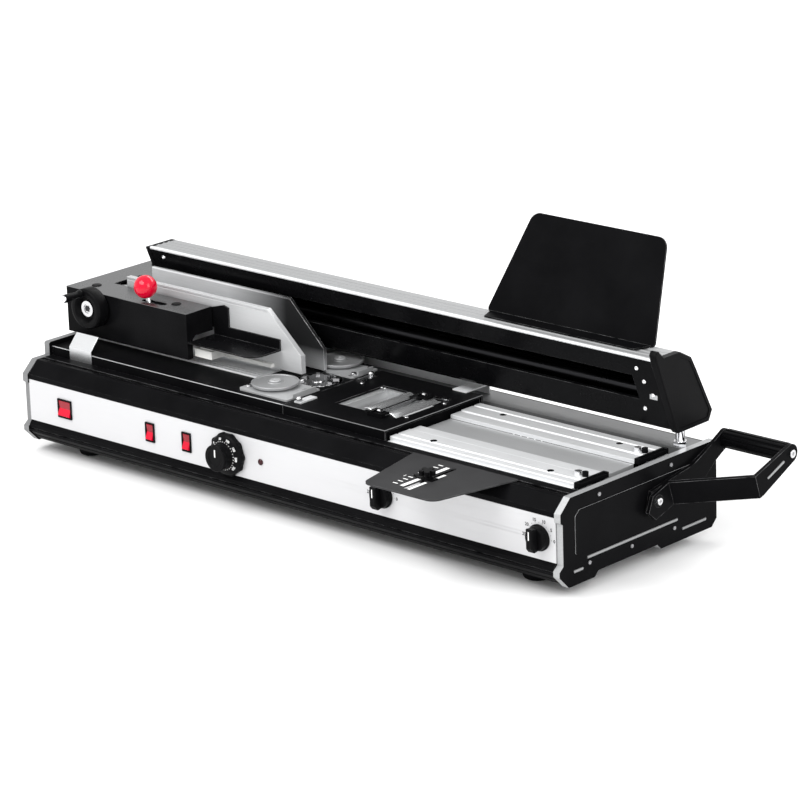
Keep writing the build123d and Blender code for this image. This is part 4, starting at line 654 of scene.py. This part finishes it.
def ring_way(degrees, rise=0.0):
    """The way from a dial's middle to a mark on its ring, seen from the front."""
    angle = math.radians(degrees)
    return Vector((math.cos(angle), rise, math.sin(angle)))


# The add-on

class BinderSizes(bpy.types.PropertyGroup):
    edge_bevel: FloatProperty(
        name="Edge bevel", description="Size of the bevels on the outside edges, 1 is as built",
        default=1.0, min=0.0, max=2.0,
    )
    screw_size: FloatProperty(
        name="Screw size", description="Size of the added screw heads, 1 is 6 mm across",
        default=1.0, min=0.5, max=2.0,
    )
    number_height: FloatProperty(
        name="Number height", description="Height of the timers' numbers, in millimetres",
        default=4.4, min=1.0, max=6.0,
    )


class BinderFinish(bpy.types.PropertyGroup):
    coat_colour: FloatVectorProperty(
        name="Black coat", description="Colour of the sprayed sheet metal", subtype="COLOR", size=3,
        default=(0.0028, 0.0028, 0.0032), min=0.0, max=1.0,
    )
    silver_colour: FloatVectorProperty(
        name="Bare aluminium", description="Colour of the bare extrusions, jaws, discs and rollers",
        subtype="COLOR", size=3, default=(0.82, 0.83, 0.84), min=0.0, max=1.0,
    )
    panel_colour: FloatVectorProperty(
        name="Control panel", description="Colour of the long front panel", subtype="COLOR", size=3,
        default=(0.63, 0.63, 0.64), min=0.0, max=1.0,
    )
    steel_colour: FloatVectorProperty(
        name="Steel", description="Colour of the cutter, the shafts and the body's screws",
        subtype="COLOR", size=3, default=(0.66, 0.66, 0.67), min=0.0, max=1.0,
    )
    red_colour: FloatVectorProperty(
        name="Red", description="Colour of the rockers and of the lever's ball", subtype="COLOR", size=3,
        default=(0.56, 0.0, 0.022), min=0.0, max=1.0,
    )


class BINDER_OT_body(bpy.types.Operator):
    """Finishes of the end plates, rails, tray and panels"""
    bl_idname = "binder.body"
    bl_label = "Body"

    def execute(self, context):
        dress("black edged plate", ("right_end_plate",), 0.6)
        # the left plate's bare edges are darkened as painted shade
        dress("dim edged plate", ("left_end_plate",), 0.6)
        dress("lined black coat", ("front_upper_rail",), 0.5)
        dress("black coat", ("front_lower_rail",), 0.4)
        dress("black coat", ("base_tray",), 0.0)
        dress("panel silver", ("front_panel",), 0.2)
        dress("rail grey", ("rear_rail",), 0.4)
        dress("rubber", ("feet",), 0.0)
        dress("black moulding", ("power_inlet",), 0.5)
        return {"FINISHED"}


class BINDER_OT_deck(bpy.types.Operator):
    """Finishes of the working deck, its discs and its cutter"""
    bl_idname = "binder.deck"
    bl_label = "Deck"

    def execute(self, context):
        dress("lined black coat", ("deck_cover", "glue_cover"), 0.5)
        dress("satin silver", ("alignment_plate",), 0.3)
        dress("wall silver", ("splash_wall",), 0.3)
        dress("satin grey", ("front_disc_slide", "rear_disc_slide"), 0.3)
        dress("silver across", ("stop_bracket",), 0.3)
        dress("turned disc", ("front_disc", "rear_disc"), 0.3)
        dress("ground steel", ("spine_cutter", "drive_motors"), 0.3)
        return {"FINISHED"}


class BINDER_OT_glue_station(bpy.types.Operator):
    """Finishes of the glue trough, rollers and scraper"""
    bl_idname = "binder.glue_station"
    bl_label = "Glue station"

    def execute(self, context):
        dress("cast silver", ("glue_pot",), 0.5)
        dress("roller steel", ("left_glue_roller", "right_glue_roller"), 0.3)
        dress("ground steel", ("doctor_blade",), 0.3)
        for front, rear in ((80, 101), (171, 200)):  # the two clamps of the scraper's rod
            tint("doctor_blade", "black moulding", (70, front, 139), (116, rear, 147))
        return {"FINISHED"}


class BINDER_OT_nipping_station(bpy.types.Operator):
    """Finishes of the nipping jaws, platform and cover gauge"""
    bl_idname = "binder.nipping_station"
    bl_label = "Nipping station"

    def execute(self, context):
        dress("satin silver", ("nip_front_jaw", "nip_rear_jaw"), 0.4)
        for name, y in NIP_JAWS:
            for x in NIP_SCREWS:
                tint(name, "black moulding", (x - 5, y - 5, 128.4), (x + 5, y + 5, 131.1))
        dress("satin grey", ("nip_platform",), 0.4)
        dress("black moulding", ("nip_front_fittings", "nip_rear_fittings", "gauge_pointer"), 0.5)
        for name in ("nip_front_fittings", "nip_rear_fittings"):  # their hexagon screws
            tint(name, "bright screw", (432, 50, 131.4), (443.5, 240, 137))
        dress("grey plate", ("gauge_plate",), 0.4)
        return {"FINISHED"}


class BINDER_OT_beam(bpy.types.Operator):
    """Finishes of the guide beam, its covers and the support board"""
    bl_idname = "binder.beam"
    bl_label = "Beam"

    def execute(self, context):
        dress("gloss black coat", ("guide_beam",), 0.5)
        dress("cover grey", ("beam_top_cover",), 0.3)
        tint("beam_top_cover", "bright strip", (-420, 189, 250), (480, 194.6, 261))  # its front bead
        dress("black moulding", ("beam_end_caps",), 0.8)
        dress("chrome", ("beam_posts",), 0.3)
        dress("black oxide", ("guide_shaft",), 0.3)
        dress("black coat", ("support_board",), 0.5)
        return {"FINISHED"}


class BINDER_OT_trolley(bpy.types.Operator):
    """Finishes of the clamp trolley, its jaws and its handwheel"""
    bl_idname = "binder.trolley"
    bl_label = "Trolley"

    def execute(self, context):
        dress("plate and box", ("trolley_housing",), 0.5)
        dress("gloss black coat", ("jaw_ledge",), 0.5)
        dress("jaw silver", ("front_jaw",), 0.5)
        # the rear jaw carries painted shade and painted edge highlights
        dress("shaded silver", ("rear_jaw",), 0.5)
        dress("ground steel", ("trolley_guides", "clamp_screw", "clamp_lever"), 0.3)
        tint("trolley_guides", "black moulding", (-480, 80, 214.9), (-240, 270, 217))  # the plugs
        tint("clamp_screw", "black oxide", (-424, 74.5, 192), (-416, 76.5, 200))  # its middle
        dress("nylon", ("jaw_pad",), 0.4)
        dress("black moulding", ("handwheel", "crank_handle"), 0.6)
        tint("crank_handle", "chrome", (-440, 34, 205), (-410, 36.6, 230))  # its front end
        dress("red moulding", ("lever_ball",), 0.0)
        return {"FINISHED"}


class BINDER_OT_controls(bpy.types.Operator):
    """Finishes of the switches, the knobs, the press lever and the screws"""
    bl_idname = "binder.controls"
    bl_label = "Controls"

    def execute(self, context):
        rockers = ("main_rocker", "roller_rocker", "cutter_rocker")
        knobs = ("thermostat_knob", "left_timer_knob", "right_timer_knob")
        dress("red moulding", rockers, 0.4)
        dress("smoked lens", ("indicator_lamp",), 0.3)
        dress("black moulding", ("rocker_bezels", *knobs, "press_grip"), 0.5)
        dress("black coat", ("press_lever",), 0.5)
        # painted highlight: the lever's outer rib is tinted bright metal
        tint("press_lever", "groove metal", (590.6, 180, 80), (592, 330, 150))  # its outer rib
        # painted shade: the rockers' upper halves get a darker red
        for name in rockers:  # the upper halves
            tint(name, "deep red", (-480, -10, 76), (0, 5.2, 100))
        dress("ground steel", ("press_shaft", "body_screws"), 0.3)
        tint("press_shaft", "black moulding", (491.5, 160, 60), (492.3, 200, 100))  # its end face
        # the right end plate's screws, and the bracket beside the front disc slide
        tint("body_screws", "dull screw", (479.5, 0, 0), (484, 306, 130))
        tint("body_screws", "satin silver", (-26, 60, 139.5), (-12, 110, 142.05))
        return {"FINISHED"}


class BINDER_OT_dials(bpy.types.Operator):
    """Numbers and ticks round the timers, on the thermostat and on the cover gauge"""
    bl_idname = "binder.dials"
    bl_label = "Dials"

    def execute(self, context):
        sizes = context.scene.binder_sizes
        rightward, upward, rearward = Vector((1, 0, 0)), Vector((0, 0, 1)), Vector((0, 1, 0))

        for name, x in TIMERS:
            marks, ticks = [], []
            for step in range(6):
                way = ring_way(36 * step)
                spot = at(x + 24 * way.x, PANEL_FACE, DIAL_Z - 0.5 + 23 * way.z)
                marks.append((str(5 * step), spot, rightward, upward))
            for step in range(11):
                way = ring_way(18 * step)
                ticks.append(at(x + 19.5 * way.x, PANEL_FACE, DIAL_Z + 19.5 * way.z))
            lettered(name + "_numbers", marks, sizes.number_height, "dark print", "base")
            dot = round_dot(name + " dot", 0.45, 0.05, 10)
            repeated(name + "_ticks", dot, ticks, "dark print", "base")
            line = ((x - 0.7, -14.65, 76.0), (x + 0.7, -14.4, 87.0))
            bars(name + "_line", [line], "white print", name)

        marks = []
        for step in range(6):
            degrees = 140 - 36 * step
            up = ring_way(degrees, 0.41).normalized()  # on the rim's slope
            right = ring_way(degrees - 90)
            spot = at(THERMOSTAT_X, -4.92, DIAL_Z) + ring_way(degrees) * 22.3 * MM
            marks.append((str(50 * step), spot, right, up))
        middle = at(THERMOSTAT_X, -6.2, DIAL_Z)
        dots = [middle + ring_way(149 - 12 * step) * 19 * MM for step in range(21)]
        lettered("thermostat_numbers", marks, 3.1, "white print", "thermostat")
        dot = round_dot("thermostat dot", 0.55, 0.2, 8)
        repeated("thermostat_ticks", dot, dots, "white print", "thermostat")
        line = ((THERMOSTAT_X - 0.8, -21.2, 76.0), (THERMOSTAT_X + 0.8, -20.5, 88.5))
        bars("thermostat_line", [line], "white print", "thermostat")

        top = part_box("gauge_plate")[1].z / MM
        tick = mesh_of("gauge tick", lambda made: add_box(made, ORIGIN, (7.6, 2.0, 0.12)))
        places = [at(278.0, -68.5 + 9.2 * step, top) for step in range(10)]
        repeated("gauge_ticks", tick, places, "white print", "base")
        rims = [
            ((x0, y0, top - 0.05), (x1, y1, top + 0.06)) for x0, x1, y0, y1 in (
                (288.5, 294.5, -72.0, 13.0), (305.0, 309.5, -77.0, -45.0), (305.0, 309.5, -27.0, -10.0),
            )
        ]
        bars("gauge_rims", rims, "white print", "base")
        mark = ("1", at(268.5, -41.0, top + 0.02), rightward, rearward)
        lettered("gauge_numbers", [mark], 5.0, "white print", "base")
        return {"FINISHED"}


class BINDER_OT_fasteners(bpy.types.Operator):
    """Screws and small plate of the beam, screws of the glue cover and of the scraper's clamps"""
    bl_idname = "binder.fasteners"
    bl_label = "Fasteners"

    def execute(self, context):
        size = context.scene.binder_sizes.screw_size
        places = ((443.0, 241.6), (449.0, 223.5), (437.0, 182.4), (457.0, 205.0), (-390.0, 247.0))
        spots = [on_face("guide_beam", (x, 120.0, z), (0, 1, 0)) for x, z in places]
        screw_heads("beam_screws", spots, FRONTWARD, "bright screw", "base", size)
        x, y = ((spots[3] - SKETCH) / MM).xy
        bars("beam_plate", [((x - 5, y - 0.4, 200.0), (x + 7, y + 0.2, 219.0))], "satin grey", "base")
        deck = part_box("glue_cover")[1].z
        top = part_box("doctor_blade")[1].z
        for name, z, factor, places in (
            ("glue_cover_screws", deck, 0.62, ((28.0, 183.6), (22.8, 183.2), (134.5, 107.5))),
            ("clamp_screws", top, 0.9, ((101.5, 93.0), (101.5, 178.4))),
        ):
            spots = [Vector((*at(x, y, 0).xy, z)) for x, y in places]
            screw_heads(name, spots, (0, 0, 1), "bright screw", "base", factor * size)
        return {"FINISHED"}


class BINDER_OT_inlays(bpy.types.Operator):
    """Bare metal in the end plate's grooves, painted highlights along the deck's edges, and the rollers'
    hub rings
    """
    bl_idname = "binder.inlays"
    bl_label = "Inlays"

    def execute(self, context):
        radius = 1.4

        def strips(made):
            for front, rear, z in ((52, 228, 43.5), (236, 285, 28.5), (26, 45, 32)):
                outline = []
                for middle, start in ((rear - 2.2, -90), (front + 2.2, 90)):
                    for step in range(7):
                        way = ring_way(start + 30 * step)
                        outline.append(at(478.9, middle + radius * way.x, z + radius * way.z))
                add_prism(made, outline, Vector((1.7 * MM, 0, 0)))
        linked("groove_strips", mesh_of("groove strips", strips), "groove metal", "base")

        # painted highlights: thin bright bars along the deck's front edge and the glue cover's front and
        # right edges
        low, high, rear = DECK_TOP - 0.6, DECK_TOP + 0.05, DECK_FRONT + 0.7
        deck_highlight = ((DECK_LEFT, DECK_FRONT, low), (DECK_SPLIT - 0.5, DECK_FRONT + 0.8, high))
        bars("deck_edge_line", [deck_highlight], "bright strip", "base")
        cover_highlights = [
            ((DECK_SPLIT, DECK_FRONT, low), (DECK_RIGHT, rear, high)),
            ((DECK_RIGHT - 0.7, rear, low), (DECK_RIGHT, DECK_REAR, high)),
        ]
        bars("glue_cover_edge_lines", cover_highlights, "groove metal", "base")
        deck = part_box("glue_cover")[1].z / MM
        strip = ((127.4, 110.0, deck), (130.6, 165.0, deck + 0.35))
        bars("opening_strip", [strip], "bright strip", "base")

        ring = [
            (7.3, -0.4), (8.2, 0.2), (10.4, 0.2), (11.2, -0.4), (11.2, -2.4), (7.3, -2.4), (7.3, -0.4),
        ]
        for body in ("left_roller", "right_roller"):
            roller = body.replace("_", "_glue_")
            low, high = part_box(roller)
            middle = Vector(((low.x + high.x) / 2, at(0, 103.1, 0).y, (low.z + high.z) / 2))
            hub = mesh_of(roller + " hub", lambda made: add_turned(made, ring, middle, FRONTWARD, 28))
            linked(roller + "_hub", hub, "black moulding", body, True)
        return {"FINISHED"}


FLOOR_HALF = 12.0
LIGHTS = (  # name, place, width, height and power
    ("key light", (-0.6, -2.0, 2.6), 2.4, 1.4, 70.0),
    ("side light", (2.6, -0.6, 1.6), 1.2, 2.0, 36.0),
    ("back light", (-0.4, 2.4, 2.2), 3.0, 0.8, 40.0),
)
LIGHT_TARGET = Vector((0, 0, 0.15))
SENSOR = 36.0
LENS_IN_PICTURES = 3838.7 / 800
CAMERA_ANGLES = (43.11, 17.57, -1.86)  # azimuth, elevation and roll, in degrees
CAMERA_PLACE = (3314.5, -3299.2, 1639.6)


class BINDER_OT_stage(bpy.types.Operator):
    """Floor, light and camera"""
    bl_idname = "binder.stage"
    bl_label = "Stage"

    def execute(self, context):
        scene = bpy.context.scene
        mesh = bpy.data.meshes.new("floor")
        bottom = CAD_BOX[0].z - 0.4 * MM
        low, high = -FLOOR_HALF, FLOOR_HALF
        corners = [(low, low, bottom), (high, low, bottom), (high, high, bottom), (low, high, bottom)]
        mesh.from_pydata(corners, [], [(0, 1, 2, 3)])
        floor = bpy.data.objects.new("floor", mesh)
        scene.collection.objects.link(floor)
        material = fresh_material("pale floor", Roughness=0.9, Metallic=0.0,
                                  Base_Color=(0.93, 0.93, 0.93, 1.0))[0]
        mesh.materials.append(material)

        world = bpy.data.worlds.new("studio")
        world.use_nodes = True
        back = next(node for node in world.node_tree.nodes if node.type == "BACKGROUND")
        feed_all(world.node_tree, back, Color=(1.0, 1.0, 1.0, 1.0), Strength=0.9)
        scene.world = world
        scene.view_settings.view_transform = "Standard"
        for label, place, width, height, power in LIGHTS:
            data = bpy.data.lights.new(label, "AREA")
            data.shape = "RECTANGLE"
            data.size = width
            data.size_y = height
            data.energy = power
            lamp = bpy.data.objects.new(label, data)
            lamp.location = place
            lamp.rotation_euler = (LIGHT_TARGET - Vector(place)).to_track_quat("-Z", "Y").to_euler()
            scene.collection.objects.link(lamp)

        camera_data = bpy.data.cameras.new("camera")
        camera_data.sensor_width = SENSOR
        camera_data.lens = SENSOR * LENS_IN_PICTURES
        camera_data.clip_start = 0.1
        camera_data.clip_end = 60.0
        camera = bpy.data.objects.new("camera", camera_data)
        scene.collection.objects.link(camera)
        azimuth, elevation, roll = (math.radians(angle) for angle in CAMERA_ANGLES)
        level = math.cos(elevation)
        backward = Vector((math.sin(azimuth) * level, -math.cos(azimuth) * level, math.sin(elevation)))
        right = (-backward).cross(Vector((0, 0, 1))).normalized()
        up = right.cross(-backward).normalized()
        rolled_right = right * math.cos(roll) + up * math.sin(roll)
        rolled_up = up * math.cos(roll) - right * math.sin(roll)
        turn = Matrix((rolled_right, rolled_up, backward)).transposed()
        camera.rotation_mode = "QUATERNION"
        camera.rotation_quaternion = turn.to_quaternion()
        camera.location = at(*CAMERA_PLACE)
        scene.camera = camera
        return {"FINISHED"}


class BINDER_PT_panel(bpy.types.Panel):
    """Lists the sizes, the colours and the operators"""
    bl_idname = "BINDER_PT_panel"
    bl_label = "Binding machine"
    bl_space_type = "VIEW_3D"
    bl_region_type = "UI"
    bl_category = "Binder"

    def draw(self, context):
        layout = self.layout
        for group in (context.scene.binder_sizes, context.scene.binder_finish):
            for name in group.bl_rna.properties.keys():
                if name not in ("rna_type", "name"):
                    layout.prop(group, name)
        for operator in OPERATORS:
            layout.operator(operator.bl_idname)


OPERATORS = (
    BINDER_OT_body, BINDER_OT_deck, BINDER_OT_glue_station, BINDER_OT_nipping_station, BINDER_OT_beam,
    BINDER_OT_trolley, BINDER_OT_controls, BINDER_OT_dials, BINDER_OT_fasteners, BINDER_OT_inlays,
    BINDER_OT_stage,
)
CLASSES = (BinderSizes, BinderFinish, *OPERATORS, BINDER_PT_panel)


def register():
    for made in CLASSES:
        bpy.utils.register_class(made)
    bpy.types.Scene.binder_sizes = PointerProperty(type=BinderSizes)
    bpy.types.Scene.binder_finish = PointerProperty(type=BinderFinish)


def unregister():
    del bpy.types.Scene.binder_finish
    del bpy.types.Scene.binder_sizes
    for made in reversed(CLASSES):
        bpy.utils.unregister_class(made)


def main():
    register()
    for operator in OPERATORS:
        group, name = operator.bl_idname.split(".")
        getattr(getattr(bpy.ops, group), name)()


if __name__ == "__main__":
    main()
